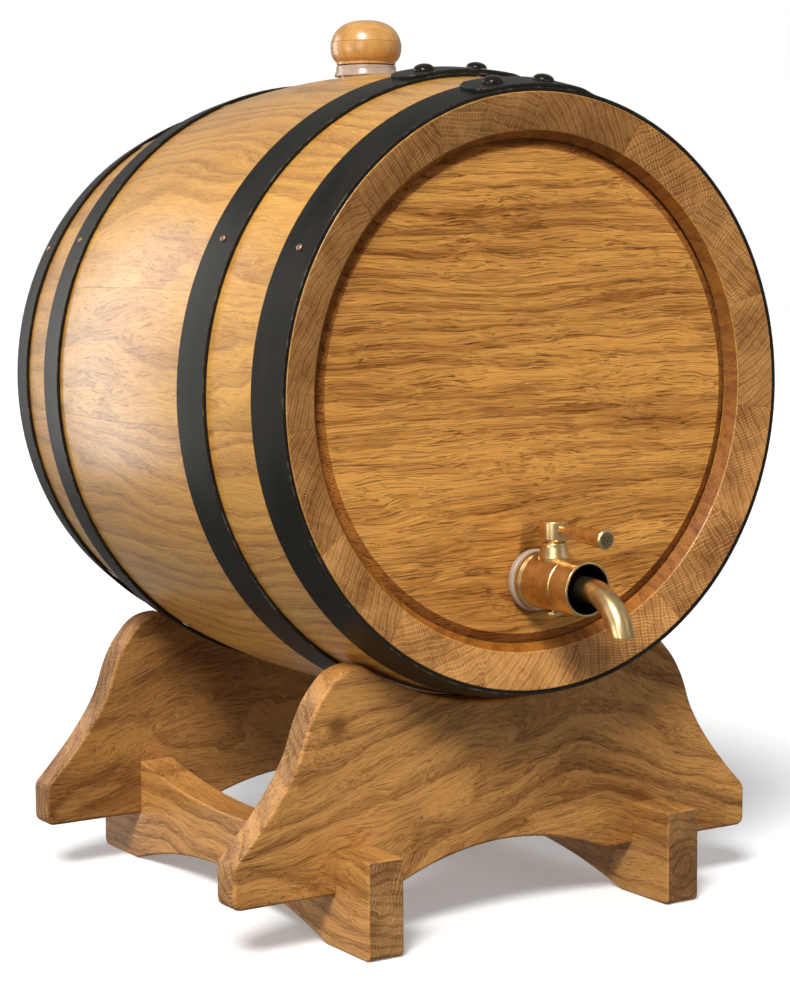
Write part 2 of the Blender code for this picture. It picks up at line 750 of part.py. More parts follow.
# Cradle -------------------------------------------------------------------------------------------


def slab(name, points, thickness, parent):
    """A flat board cut to an outline, with its edges rounded over."""
    curve = bpy.data.curves.new(name, "CURVE")
    curve.dimensions = "2D"
    curve.fill_mode = "BOTH"
    curve.extrude = thickness / 2
    spline = curve.splines.new("POLY")
    spline.points.add(len(points) - 1)
    spline.use_cyclic_u = True
    for point, (x, y) in zip(spline.points, points):
        point.co = (x, y, 0, 1)
    board = add(name, curve, "oak_cradle", parent)
    weld = board.modifiers.new("weld", "WELD")
    weld.merge_threshold = 0.00001
    rounding = board.modifiers.new("rounding", "BEVEL")
    rounding.width = EDGE_ROUNDING
    rounding.segments = 1
    rounding.limit_method = "ANGLE"
    rounding.angle_limit = math.radians(60)
    return board


def mirrored(points):
    """The outline of the right half followed by its mirror image."""
    return points + [(-x, y) for x, y in reversed(points)]


def rounded_corner(x, y, reach):
    """The lower right corner of an outline that runs clockwise, eased into a small arc."""
    above = (x, y + reach)
    return [above] + bezier(above, (x, y), (x - reach, y), 3)


def board_outline():
    """A cradle board: foot, waist, horn, saddle, and underneath the rail notches and the arch."""
    radius = shell_radius(BOARD_FRONT - BOARD_THICKNESS) + GAP
    points = []
    count = 8
    for i in range(count + 1):
        angle = math.radians(SADDLE_HALF_ANGLE * (i + 0.5) / (count + 0.5))
        points.append((radius * math.sin(angle), AXIS_HEIGHT - radius * math.cos(angle)))
    x, y = points[-1]
    points += bezier((x, y), (x + HORN_CREST[0], y + HORN_CREST[1]), HORN_TIP, 3)
    points += bezier(HORN_TIP, HORN_HANDLE, WAIST, 6)
    shoulder = (BOARD_HALF_WIDTH - FOOT_SHOULDER, FOOT_TOP + FOOT_SHOULDER)
    below = (BOARD_HALF_WIDTH, FOOT_TOP - FOOT_SHOULDER)
    points += bezier(WAIST, FOOT_HANDLE, shoulder, 7)
    points += bezier(shoulder, (BOARD_HALF_WIDTH, FOOT_TOP), below, 3)
    points += rounded_corner(BOARD_HALF_WIDTH, BOARD_BOTTOM, FOOT_ROUNDING)
    notch_top = HALVING_HEIGHT + GAP / 2
    for side in (1, -1):
        edge = RAIL_SPACING + side * (RAIL_WIDTH / 2 + GAP)
        corners = [(edge, BOARD_BOTTOM), (edge, notch_top)]
        points += corners if side == 1 else corners[::-1]
    steps = 10
    for i in range(steps // 2 + 1):
        across = 1 - 2 * i / (steps + 1)
        points.append((ARCH_HALF_WIDTH * across, BOARD_BOTTOM + ARCH_RISE * (1 - across * across)))
    return mirrored(points)


def rail_outline():
    """A rail seen from its side: flat feet, an arch below, a dip above, and the boards' notches."""
    points = [(0, RAIL_SHOULDER - RAIL_DIP)]
    inner = BOARD_FRONT - BOARD_THICKNESS - GAP
    steps = 7
    for i in range(1, steps + 1):
        part = i / steps
        points.append((inner * part, RAIL_SHOULDER - RAIL_DIP * (1 - part * part)))
    notch = HALVING_HEIGHT - GAP / 2
    outer = BOARD_FRONT + GAP
    points += [(inner, notch), (outer, notch), (outer, RAIL_HEIGHT)]
    points.append((RAIL_HALF_LENGTH, RAIL_HEIGHT))
    points += rounded_corner(RAIL_HALF_LENGTH, 0, RAIL_TOE_ROUNDING)
    for i in range(steps):
        part = 1 - i / steps
        points.append((RAIL_ARCH_HALF_WIDTH * part, RAIL_ARCH_RISE * (1 - part * part)))
    middle_bottom = (0, RAIL_ARCH_RISE)
    return points + [middle_bottom] + [(-y, z) for y, z in reversed(points[1:])]


def make_cradle():
    across = empty("cradle_across", None, (0, KEG_Y, 0), (90, 0, 0))
    along = empty("cradle_along", None, (0, KEG_Y, 0), (90, 0, 90))
    middle = BOARD_FRONT - BOARD_THICKNESS / 2
    for name, side in (("front", 1), ("rear", -1)):
        board = slab(f"cradle_board_{name}", board_outline(), BOARD_THICKNESS, across)
        board.location.z = side * middle
    for name, side in (("left", -1), ("right", 1)):
        rail = slab(f"cradle_rail_{name}", rail_outline(), RAIL_WIDTH, along)
        rail.location.z = side * RAIL_SPACING


def main():
    make_materials()
    make_cradle()
    keg = empty("keg_axis", None, (0, KEG_Y, AXIS_HEIGHT), (90, 0, 0))
    staves = make_staves(keg)
    head_front = make_heads(keg)
    make_hoops(staves, keg)
    make_bung(staves, keg)
    make_tap(keg, head_front)


clear_scene()
PARTS = make_collection("oak_wine_barrel")
CUTTERS = make_collection("cutters")
main()
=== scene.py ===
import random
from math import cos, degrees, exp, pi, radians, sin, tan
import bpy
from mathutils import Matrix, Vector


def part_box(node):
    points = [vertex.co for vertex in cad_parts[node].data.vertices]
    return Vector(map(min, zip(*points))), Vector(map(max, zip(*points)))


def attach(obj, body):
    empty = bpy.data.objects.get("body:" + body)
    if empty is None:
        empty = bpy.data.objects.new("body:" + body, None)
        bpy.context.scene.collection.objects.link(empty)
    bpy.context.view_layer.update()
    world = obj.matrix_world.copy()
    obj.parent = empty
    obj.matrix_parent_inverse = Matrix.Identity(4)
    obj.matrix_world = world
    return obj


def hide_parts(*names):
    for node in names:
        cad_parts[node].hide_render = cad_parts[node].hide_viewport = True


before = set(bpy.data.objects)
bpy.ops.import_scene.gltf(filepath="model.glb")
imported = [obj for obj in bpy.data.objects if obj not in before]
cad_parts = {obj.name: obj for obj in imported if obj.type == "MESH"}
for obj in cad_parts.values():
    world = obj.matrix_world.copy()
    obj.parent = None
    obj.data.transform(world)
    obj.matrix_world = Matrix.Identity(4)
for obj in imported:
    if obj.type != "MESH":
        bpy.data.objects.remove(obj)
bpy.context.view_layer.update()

# The looks of the oak keg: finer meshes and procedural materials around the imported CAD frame.
# Lengths are in metres unless a name says mm. The keg has its own frame, where z runs toward the
# tapped head and y points up, so its turned pieces are outlines swept about z.

from types import SimpleNamespace

import bmesh
import bpy
from mathutils import Matrix, Vector

RANDOM = random.Random(7)
ON_AXIS = 1e-7

# Keg shell
END_RADIUS = 0.0850
BELLY_RADIUS = 0.0945
HALF_LENGTH = 0.0855
CHIME_RADIUS = 0.0745
CHIME_FALL = 0.0035
LIP_RADIUS = 0.0710
WALL_FOOT_RADIUS = 0.0722
BELLY_INNER_RADIUS = 0.0795
CROZE_DEPTH = 0.0022
STAVE_WIDTHS = (24.4, 25.0, 22.9, 23.0, 23.9, 23.6, 23.1, 23.8, 25.1, 25.0, 25.1, 24.3, 23.6, 23.6, 23.6)
FIRST_JOINT = 65.9
STAVE_STEPS = 12
SEAM = 0.00004
SEAM_EASE = 0.00005
SEAM_EASE_WIDTH = 0.00035
GRAIN_BEND = 0.55

# Heads
HEAD_RECESS = 0.0065
HEAD_THICKNESS = 0.0080
HEAD_FACE_RADIUS = 0.0694

# Hoops, with angles in degrees
HOOP_THICKNESS = 0.0010
HOOP_WIDTH = 0.0126
CHIME_HOOP_FROM_END = 0.0002
QUARTER_HOOP_FROM_END = 0.0336
HOOP_LIFT = 0.0002
HOOP_EDGE = 0.00012
LAP_CENTRES = (93.3, 93.3, 57.0, 57.0)
LAP_HALF_ANGLE = 11.2
LAP_RAMP = 4.4
LAP_STEP = 0.05
TONGUE_TAPER = 2.2
TONGUE_TIP_WIDTH = 0.0070
RIVET_OFFSET = 5.7
RIVET_HEAD_RADIUS = 0.0031
RIVET_HEAD_HEIGHT = 0.0018
RIVET_SHANK_RADIUS = 0.0014
NAIL_ANGLES = (28.6, 151.4)
NAIL_HEAD_RADIUS = 0.0011
NAIL_HEAD_HEIGHT = 0.0006
NAIL_SHANK_RADIUS = 0.0006
NAIL_LENGTH = 0.0090

# Bung and sleeve, heights above the belly
BUNG_HOLE_RADIUS = 0.0088
SEAL_RADIUS = 0.0085
SEAL_BORE = 0.0069
SEAL_DEPTH = 0.0115
COLLAR_FOOT_RADIUS = 0.0099
COLLAR_TOP_RADIUS = 0.0093
COLLAR_HEIGHT = 0.0031
KNOB_RADIUS = 0.0111
KNOB_TOP = 0.0175
BUNG_NECK_RADIUS = 0.0092
BUNG_SHANK_RADIUS = 0.0066
BUNG_TIP_RADIUS = 0.0058
BUNG_DEPTH = 0.0150

# Tap, measured forward from the head's outer face
WASHER_RADIUS = 0.0090
WASHER_THICKNESS = 0.0023
TAP_RADIUS = 0.0078
FLANGE_RADIUS = 0.0084
FLANGE_THICKNESS = 0.0018
TAP_FRONT = 0.0265
SHANK_RADIUS = 0.0049
SHANK_BACK = -0.0165
MOUTH_RADIUS = 0.0071
MOUTH_DEPTH = 0.0080
BOSS_TOP = 0.0118
BOSS_BOTTOM = 0.0055
BOSS_FOOT_RADIUS = 0.0043
BOSS_TOP_RADIUS = 0.0036
PLUG_RADIUS = 0.0026
CLEARANCE = 0.0002
LOOSE_FIT = 0.0003
NUT_HALF_WIDTH = 0.0075
NUT_THICKNESS = 0.0050
SCREW_TOP = -0.0040
SCREW_RADIUS = 0.0010
SCREW_HEAD_RADIUS = 0.0026
KEY_HEAD_RADIUS = 0.0041
KEY_TOP = 0.0180
KEY_BOTTOM = -0.0070
LEVER_HEIGHT = 0.0157
LEVER_LENGTH = 0.0245
LEVER_DROOP = 2.0
LEVER_ROOT_RADIUS = 0.0014
LEVER_TIP_RADIUS = 0.0029
SPOUT_RADIUS = 0.0035
SPOUT_BORE = 0.0028
SPOUT_BEND_START = 0.0270
SPOUT_BEND_RADIUS = 0.0150
SPOUT_BEND = 74.0
SPOUT_DROP = 0.0113

# Cradle, heights above the floor
BOARD_THICKNESS = 0.0100
BOARD_FRONT = 0.0658
BOARD_HALF_WIDTH = 0.0922
BOARD_BOTTOM = 0.0156
FOOT_TOP = 0.0284
FOOT_HANDLE = (0.0728, 0.0478)
WAIST = (0.0692, 0.0600)
HORN_HANDLE = (0.0663, 0.0698)
HORN_TIP = (0.0610, 0.0752)
HORN_CREST = (0.0075, 0.0004)
SADDLE_HALF_ANGLE = 32.8
ARCH_HALF_WIDTH = 0.0370
ARCH_RISE = 0.0080
RAIL_SPACING = 0.0532
RAIL_WIDTH = 0.0118
RAIL_HALF_LENGTH = 0.0831
RAIL_HEIGHT = 0.0286
RAIL_SHOULDER = 0.0329
RAIL_DIP = 0.0063
RAIL_ARCH_RISE = 0.0095
RAIL_ARCH_HALF_WIDTH = 0.0600
HALVING_HEIGHT = 0.0228
CRADLE_ROUNDING = 0.0012
JOINT_GAP = 0.0001
GRAIN_ARCH_WIDTH = 0.045

# Camera: place from the keg's middle, and turn as azimuth, elevation and roll in degrees
CAMERA_PLACE = (-0.4095, -0.6432, 0.0425)
CAMERA_TURN = (-32.73, 5.77, -0.38)
SENSOR = 36
LENS = 89.36

# Where the CAD frame puts each group
HEAD_LOW, HEAD_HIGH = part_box("head_front")
REAR_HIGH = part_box("head_rear")[1]
WASHER_LOW, WASHER_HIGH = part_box("tap_washer")
KEY_LOW, KEY_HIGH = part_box("tap_key")
BUNG_LOW, BUNG_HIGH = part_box("bung")
AXIS_X = (HEAD_LOW.x + HEAD_HIGH.x) / 2
AXIS_Z = (HEAD_LOW.z + HEAD_HIGH.z) / 2
KEG_Y = (HEAD_LOW.y + REAR_HIGH.y) / 2
TAP_Z = (WASHER_LOW.z + WASHER_HIGH.z) / 2

# The pieces' own frames
QUARTER_TURN = Matrix.Rotation(pi / 2, 4, "X")
KEG = Matrix.Translation((AXIS_X, KEG_Y, AXIS_Z)) @ QUARTER_TURN
TAP = Matrix.Translation((AXIS_X, HEAD_LOW.y, TAP_Z)) @ QUARTER_TURN
KEY = Matrix.Translation((AXIS_X, (KEY_LOW.y + KEY_HIGH.y) / 2, TAP_Z))
LEVER_TURN = Matrix.Rotation(radians(90 + LEVER_DROOP), 4, "X")
LEVER = KEY @ Matrix.Translation((0, 0, LEVER_HEIGHT)) @ LEVER_TURN
BUNG = Matrix.Translation((AXIS_X, (BUNG_LOW.y + BUNG_HIGH.y) / 2, BUNG_HIGH.z - KNOB_TOP))

# Floor and light. A softbox has a place, watts, (width, height), and whether only reflections show it.
FLOOR_RADIUS = 6.0
ROOM_LOW = 0.25
ROOM_HIGH = 0.37
SUN_PLACE = (-0.60, -0.53, AXIS_Z + 0.82)
SUN_STRENGTH = 3.25
SUN_ANGLE = 18
SOFTBOXES = (
    ("back_softbox", (-0.60, 1.08, 0.30), 6.2, (0.45, 1.1), True),
    ("left_softbox", (-1.1, 0.3, 0.45), 1.0, (0.7, 0.7), False),
    ("low_softbox", (-1.3, -0.05, 0.07), 2.2, (0.5, 0.25), False),
    ("right_softbox", (0.9, -1.0, 0.7), 0.7, (0.4, 0.8), False),
    ("tap_softbox", (-1.2, -0.9, 0.35), 3.6, (0.35, 0.9), True),
)


# --- Outlines and meshes ---


def fillet(points, steps=4, closed=False):
    """Points (x, y), or (x, y, radius) for a rounded corner, as an outline of vectors."""
    outline = []
    for i, (x, y, *radius) in enumerate(points):
        corner = Vector((x, y))
        if not radius or (not closed and i in (0, len(points) - 1)):
            outline.append(corner)
            continue
        before = Vector(points[i - 1][:2]) - corner
        after = Vector(points[(i + 1) % len(points)][:2]) - corner
        room = 0.48 * min(before.length, after.length)
        reach = min(radius[0] / tan(before.angle(after) / 2), room)
        start = corner + before.normalized() * reach
        end = corner + after.normalized() * reach
        for k in range(steps + 1):
            t = k / steps
            outline.append(start * (1 - t) ** 2 + corner * 2 * t * (1 - t) + end * t * t)
    return outline


def bezier(start, handle, end, count):
    """Points (x, y) of a quadratic curve, without its first one."""
    points = []
    for i in range(1, count + 1):
        t = i / count
        spread = zip(start, handle, end)
        points.append(tuple(a * (1 - t) ** 2 + 2 * b * t * (1 - t) + c * t * t for a, b, c in spread))
    return points


def skin(bm, rings, closed):
    """Quads between neighbouring rings of vertices, and triangles where a ring is one point."""
    pairs = list(zip(rings, rings[1:]))
    if closed:
        pairs.append((rings[-1], rings[0]))
    for upper, lower in pairs:
        for k in range(max(len(upper), len(lower))):
            corners = (
                upper[k % len(upper)],
                upper[(k + 1) % len(upper)],
                lower[(k + 1) % len(lower)],
                lower[k % len(lower)],
            )
            distinct = list(dict.fromkeys(corners))
            if len(distinct) > 2:
                bm.faces.new(distinct)


def loft(sections, closed=False, capped=False):
    """A bmesh through sections of points, with a face over the first and the last if it is capped."""
    bm = bmesh.new()
    rings = [[bm.verts.new(point) for point in section] for section in sections]
    skin(bm, rings, closed)
    if capped:
        bm.faces.new(rings[0])
        bm.faces.new(rings[-1])
    return bm


def lathe(outline, steps=72, closed=False):
    """A bmesh of an outline of (radius, z) turned about z."""
    turns = [2 * pi * k / steps for k in range(steps)]
    sections = []
    for radius, z in outline:
        angles = turns[:1] if radius < ON_AXIS else turns
        sections.append([(radius * cos(angle), radius * sin(angle), z) for angle in angles])
    return loft(sections, closed)


def plain_mesh(bm, name):
    """The bmesh as a mesh, which frees it."""
    mesh = bpy.data.meshes.new(name)
    bm.to_mesh(mesh)
    bm.free()
    return mesh


def finished_mesh(bm, name, matrix, sharp=35):
    """A smooth mesh moved to its place, with edges over this many degrees kept sharp."""
    bmesh.ops.recalc_face_normals(bm, faces=bm.faces)
    for face in bm.faces:
        face.smooth = True
    bm.transform(matrix)
    mesh = plain_mesh(bm, name)
    mesh.set_sharp_from_angle(angle=radians(sharp))
    return mesh


def add_object(name, data):
    obj = bpy.data.objects.new(name, data)
    bpy.context.scene.collection.objects.link(obj)
    return obj


def bake_modifiers(obj):
    """Makes the modifiers' result the object's own mesh."""
    graph = bpy.context.evaluated_depsgraph_get()
    obj.data = bpy.data.meshes.new_from_object(obj.evaluated_get(graph))
    obj.modifiers.clear()


def drill(obj, radius, start, end):
    """Cuts a round hole between two points."""
    axis = end - start
    bm = bmesh.new()
    bmesh.ops.create_cone(bm, cap_ends=True, segments=64, radius1=radius, radius2=radius, depth=axis.length)
    place = Matrix.Translation((start + end) / 2) @ axis.to_track_quat("Z", "Y").to_matrix().to_4x4()
    bm.transform(place)
    cutter = add_object("drill", plain_mesh(bm, "drill"))
    modifier = obj.modifiers.new("drill", "BOOLEAN")
    modifier.object = cutter
    modifier.solver = "EXACT"
    bpy.context.view_layer.update()
    bake_modifiers(obj)
    bpy.data.objects.remove(cutter, do_unlink=True)


def piece(name, mesh, material, body, node):
    """A visible piece that rides on a body and stands for a CAD node."""
    obj = add_object(name, mesh)
    mesh.materials.append(MATERIALS[material])
    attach(obj, body)
    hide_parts(node)
    return obj


# --- Coordinates that the materials read ---


def set_points(mesh, name, values):
    """A vector for each vertex, under an attribute's name."""
    attribute = mesh.attributes.new(name, "FLOAT_VECTOR", "POINT")
    attribute.data.foreach_set("vector", [number for value in values for number in value])


def set_numbers(mesh, name, values, domain="POINT"):
    """A number for each vertex or face, under an attribute's name."""
    mesh.attributes.new(name, "FLOAT", domain).data.foreach_set("value", values)


def frame_of(matrix):
    """Turns a world point into this frame."""
    inverse = matrix.inverted()
    return lambda point: inverse @ point


def cut_from_log(obj, to_board, grain, pith, shift, tone, stained=None):
    """Gives a wooden piece its place in a log, in mm: x along the grain, and y and z from the pith.

    to_board turns a vertex into the board's own frame, whose x axis is the grain.
    The tone is (brightness, redness, contrast of the figure), and the last argument, given a face, says
    whether it is darkened as painted shade.
    """
    mesh = obj.data
    distance, turn = pith
    angle = radians(turn)
    offset = Vector((shift, distance * sin(angle), distance * cos(angle)))
    set_points(mesh, "wood", [to_board(vert.co) * 1000 + offset for vert in mesh.vertices])
    set_points(mesh, "tone", [tone] * len(mesh.vertices))
    set_numbers(mesh, "end", [abs(face.normal.dot(grain)) for face in mesh.polygons], "FACE")
    stains = [float(bool(stained and stained(face))) for face in mesh.polygons]
    set_numbers(mesh, "stain", stains, "FACE")


def mark_turning(obj, matrix, shade_and_dark_end=None):
    """Gives a turned piece its own frame, in mm, for the lathe's marks. The last argument says how dark a
    point is painted: painted shade in the tap's mouth, a darker end on the lever.
    """
    to_frame = frame_of(matrix)
    local = [to_frame(vert.co) for vert in obj.data.vertices]
    set_points(obj.data, "turning", [point * 1000 for point in local])
    if shade_and_dark_end:
        set_numbers(obj.data, "mouth_shade_end_dark", [float(shade_and_dark_end(point)) for point in local])


# --- Materials ---


class Nodes:
    """Short calls for building a node tree."""

    def __init__(self, tree):
        self.tree = tree

    def fill(self, socket, value):
        if isinstance(value, bpy.types.NodeSocket):
            self.tree.links.new(value, socket)
        elif socket.type == "RGBA" and len(value) == 3:
            socket.default_value = (*value, 1.0)
        else:
            socket.default_value = value

    def node(self, kind, *inputs, out=0, **settings):
        node = self.tree.nodes.new("ShaderNode" + kind)
        for key, value in settings.items():
            setattr(node, key, value)
        for socket, value in zip(node.inputs, inputs):
            if value is not None:
                self.fill(socket, value)
        return node.outputs[out]

    def named(self, kind, out, **sockets):
        node = self.tree.nodes.new("ShaderNode" + kind)
        for name, value in sockets.items():
            self.fill(node.inputs[name], value)
        return node.outputs[out]

    def attribute(self, name, out="Vector"):
        node = self.tree.nodes.new("ShaderNodeAttribute")
        node.attribute_name = name
        return node.outputs[out]

    def math(self, operation, *inputs, clamp=False):
        return self.node("Math", *inputs, operation=operation, use_clamp=clamp)

    def vector(self, operation, *inputs, out=0):
        return self.node("VectorMath", *inputs, operation=operation, out=out)

    def scaled(self, vector, scale):
        """The vector times three numbers, or two: one along the grain and one for both ways across it."""
        return self.vector("MULTIPLY", vector, scale if len(scale) == 3 else (*scale, scale[1]))

    def noise(self, vector, scale=(1, 1, 1), detail=2.0, rough=0.5, distortion=0.0):
        """Noise of about 0.5 on average, with features one unit across after the scale."""
        place = self.scaled(vector, scale)
        settings = {"Detail": detail, "Roughness": rough, "Distortion": distortion}
        return self.named("TexNoise", 0, Vector=place, Scale=1.0, **settings)

    def swirl(self, vector, scale, reach):
        """A slowly turning shift of up to about half the reach either way."""
        noise = self.noise(vector, scale, detail=1.0).node
        middle = self.vector("SUBTRACT", noise.outputs["Color"], (0.5, 0.5, 0.5))
        return self.vector("MULTIPLY", middle, reach)

    def span(self, value, low, high, start=0.0, end=1.0, smooth=True):
        """value mapped from low..high to start..end, and held there outside."""
        node = self.tree.nodes.new("ShaderNodeMapRange")
        node.interpolation_type = "SMOOTHSTEP" if smooth else "LINEAR"
        for socket, number in zip(node.inputs, (value, low, high, start, end)):
            self.fill(socket, number)
        return node.outputs[0]

    def times(self, value, factor, clamp=False):
        return self.math("MULTIPLY", value, factor, clamp=clamp)

    def line(self, value, width):
        """1 along the noise's middle level, falling to 0 at this distance from it: a net of thin lines."""
        distance = self.math("ABSOLUTE", self.math("SUBTRACT", value, 0.5))
        return self.span(distance, 0.2 * width, width, 1.0, 0.0)

    def about(self, value, amount):
        """(value - 0.5) * amount"""
        return self.math("MULTIPLY_ADD", value, amount, -0.5 * amount)

    def add(self, *values):
        total = values[0]
        for value in values[1:]:
            total = self.math("ADD", total, value)
        return total

    def mix(self, factor, first, second, blend="MIX"):
        node = self.tree.nodes.new("ShaderNodeMix")
        node.data_type = "RGBA"
        node.blend_type = blend
        self.fill(node.inputs["Factor"], factor)
        self.fill(node.inputs["A"], first)
        self.fill(node.inputs["B"], second)
        return node.outputs["Result"]


class Shading(Nodes):
    """One material's nodes, around its Principled shader."""

    def __init__(self, name):
        self.material = bpy.data.materials.new(name)
        self.material.use_nodes = True
        super().__init__(self.material.node_tree)
        self.shader = self.tree.nodes["Principled BSDF"]

    def bump(self, height, distance):
        return self.named("Bump", "Normal", Strength=1.0, Distance=distance, Height=height)

    def surface(self, **inputs):
        for name, value in inputs.items():
            self.fill(self.shader.inputs[name.replace("_", " ")], value)
        return self.material


def oak_figure(s, place, look):
    """The patterns that run through a log: its seasons, strands, fibres, vessels and fine lines."""
    bend = s.swirl(place, (0.011 * look.flow, 0.030), (0, look.warp, look.warp))
    sway = s.swirl(place, (0.045 * look.flow, 0.13), (0, look.sway, look.sway))
    curl = s.swirl(place, (0.16, 0.45), (0, look.curl, look.curl))
    wood = s.vector("ADD", s.vector("ADD", place, bend), s.vector("ADD", sway, curl))
    radius = s.vector("LENGTH", s.scaled(wood, (0, 1)), out=1)

    season = s.math("DIVIDE", radius, look.ring)
    uneven = s.noise(s.node("CombineXYZ", season, 0.0, 0.0), (0.45, 1), detail=1.0)
    season = s.math("FRACT", s.add(season, s.about(uneven, 1.5)))
    early = s.times(s.span(season, 0.0, 0.10), s.span(season, 0.14, 0.80, 1.0, 0.0))

    drift = s.noise(place, (0.035, 0.10))
    long_wood = s.scaled(wood, (look.stretch, 1, 1))
    vessels = s.noise(long_wood, (0.11, 2.3), detail=1.0)
    vessels = s.add(vessels, s.about(drift, 0.12), s.times(early, 0.05))
    lines = s.line(s.noise(long_wood, (0.038, 0.62), rough=0.55), 0.030)
    broken = s.span(s.noise(long_wood, (0.10, 0.5), detail=1.0), 0.46, 0.62)
    elsewhere = s.vector("ADD", long_wood, (37, 11, 5))
    return SimpleNamespace(
        wood=wood,
        sway=sway,
        early=early,
        drift=drift,
        strand=s.noise(long_wood, (0.050, 0.95), detail=4.0, rough=0.64),
        fibre=s.noise(long_wood, (0.13, 3.3), detail=3.0, rough=0.62),
        broad=s.noise(wood, (0.009, 0.055)),
        dashes=s.span(vessels, 0.60, 0.70),
        lines=s.times(lines, broken),
        gleam=s.line(s.noise(elsewhere, (0.045, 0.75)), 0.045),
    )


def side_grain(s, figure, place, look, contrast, light, dark, pore):
    """The colour of a face along the grain, darker round the knot."""
    depth = s.add(
        0.38 - 0.4 * look.early,
        s.times(figure.early, look.early),
        s.about(figure.strand, look.strand),
        s.about(figure.fibre, look.fibre),
        s.about(figure.broad, look.broad),
        s.times(figure.lines, look.lines),
        s.times(figure.gleam, -0.5 * look.lines),
    )
    depth = s.add(0.38, s.times(s.add(depth, -0.38), contrast))
    side = s.mix(s.times(depth, 1.0, clamp=True), light, dark)
    side = s.mix(s.times(figure.dashes, look.pores), side, pore)
    from_knot = s.vector("DISTANCE", s.scaled(place, (1, 1, 0)), look.knot, out=1)
    knot = s.span(s.add(from_knot, s.about(figure.strand, 5.0)), 1.2, 5.0, 0.75, 0.0)
    return s.mix(knot, side, pore)


def end_grain(s, figure, place, look, light, dark):
    """The colour of a face across the grain, and its rays: thin lines fanning out through the rings."""
    calm = s.vector("ADD", place, s.scaled(figure.sway, (0.0, look.end_sway, look.end_sway)))
    ring_radius = s.vector("LENGTH", s.scaled(calm, (0, 1)), out=1)
    parts = s.node("SeparateXYZ", calm).node
    angle = s.math("ARCTAN2", parts.outputs[1], parts.outputs[2])
    fan = s.node("CombineXYZ", s.times(parts.outputs[0], 0.02), ring_radius, angle)
    wander = s.noise(calm, (0.05, 0.16))
    rays = s.line(s.math("FRACT", s.add(s.times(angle, look.rays), s.about(wander, 2.6))), 0.26)
    rays = s.times(rays, s.span(s.noise(fan, (1.0, 0.12, 0.4 * look.rays)), 0.36, 0.60, 0.15, 1.0))
    years = s.add(s.times(ring_radius, 1 / look.year), s.about(wander, 1.8))
    rings = s.line(s.math("FRACT", years), 0.17)
    rings = s.times(rings, s.span(s.noise(fan, (1.0, 0.9, 9.0)), 0.36, 0.60, 0.15, 1.0))
    dots = s.noise(figure.wood, (0.05, 2.6), detail=1.0)
    band = s.span(s.math("PINGPONG", years, 1.0), 0.25, 0.75)
    grid = s.add(
        look.base,
        s.times(rays, look.net),
        s.times(rings, look.net),
        s.times(band, look.band),
        s.about(dots, 0.4),
        s.about(figure.drift, 0.8),
        s.about(figure.broad, 1.0),
    )
    return s.mix(s.times(grid, 1.0, clamp=True), dark, light), rays


def oak(name, light, dark, pore, end_light, end_dark, look):
    """Solid oak: every pattern is worked out from the piece's place in the log."""
    s = Shading(name)
    place = s.attribute("wood")
    end = s.span(s.attribute("end", "Fac"), 0.80, 0.90)
    # Faces in the recess in front of a head are darkened, made rougher and given less coat: the darkening is
    # painted shade.
    stain = s.attribute("stain", "Fac")
    tone = s.node("SeparateXYZ", s.attribute("tone")).node
    brightness, redness, contrast = (tone.outputs[axis] for axis in range(3))
    figure = oak_figure(s, place, look)
    side = side_grain(s, figure, place, look, contrast, light, dark, pore)
    cut, rays = end_grain(s, figure, place, look, end_light, end_dark)

    colour = s.mix(end, side, cut)
    colour = s.mix(s.times(redness, 0.5), colour, s.mix(1.0, colour, (1.0, 0.84, 0.70), "MULTIPLY"))
    # The recess tint multiplies the colour there: painted shade.
    colour = s.mix(stain, colour, s.mix(1.0, colour, look.stain, "MULTIPLY"))
    shade = s.times(brightness, s.add(1.0, s.about(figure.drift, look.drift)))
    rough = s.add(
        look.roughness,
        s.times(figure.dashes, 0.18),
        s.about(figure.strand, 0.18),
        s.times(end, 0.14),
        s.times(stain, 0.22),
    )
    height = s.add(
        s.times(figure.dashes, -0.8),
        s.times(figure.lines, -0.9),
        s.times(figure.early, -0.2),
        s.about(figure.fibre, -0.8),
        s.about(figure.strand, -1.2),
        s.times(s.times(rays, end), 0.6),
    )
    return s.surface(
        Base_Color=s.vector("SCALE", colour, None, None, shade),
        Roughness=rough,
        Normal=s.bump(height, look.relief),
        Coat_Weight=s.times(s.math("SUBTRACT", 1.0, s.math("MAXIMUM", end, stain)), look.coat),
        Coat_Roughness=0.28,
        Specular_IOR_Level=look.shine,
    )


def bung_wood():
    """Pale turned wood under a thick gloss, with faint growth lines and flecks."""
    s = Shading("bung_wood")
    wood = s.attribute("wood")
    slow = s.noise(wood, (0.04, 0.16))
    radius = s.vector("LENGTH", s.scaled(wood, (0, 1)), out=1)
    years = s.times(s.add(radius, s.about(slow, 6.0)), 0.45)
    line = s.span(s.math("FRACT", years), 0.55, 1.0)
    fibre = s.noise(wood, (0.22, 2.4), detail=3.0)
    broad = s.noise(wood, (0.06, 0.22))
    depth = s.add(s.times(line, 0.24), s.about(fibre, 0.9), s.about(broad, 1.2), 0.32)
    colour = s.mix(s.times(depth, 1.0, clamp=True), (0.72, 0.375, 0.090), (0.42, 0.165, 0.028))
    turning = s.noise(s.attribute("turning"), (0.0, 0.0, 5.0))
    return s.surface(
        Base_Color=colour,
        Roughness=s.add(0.36, s.about(fibre, 0.12)),
        Normal=s.bump(s.add(s.about(fibre, 0.4), s.about(turning, 0.6)), 0.00003),
        Coat_Weight=0.8,
        Coat_Roughness=0.26,
    )


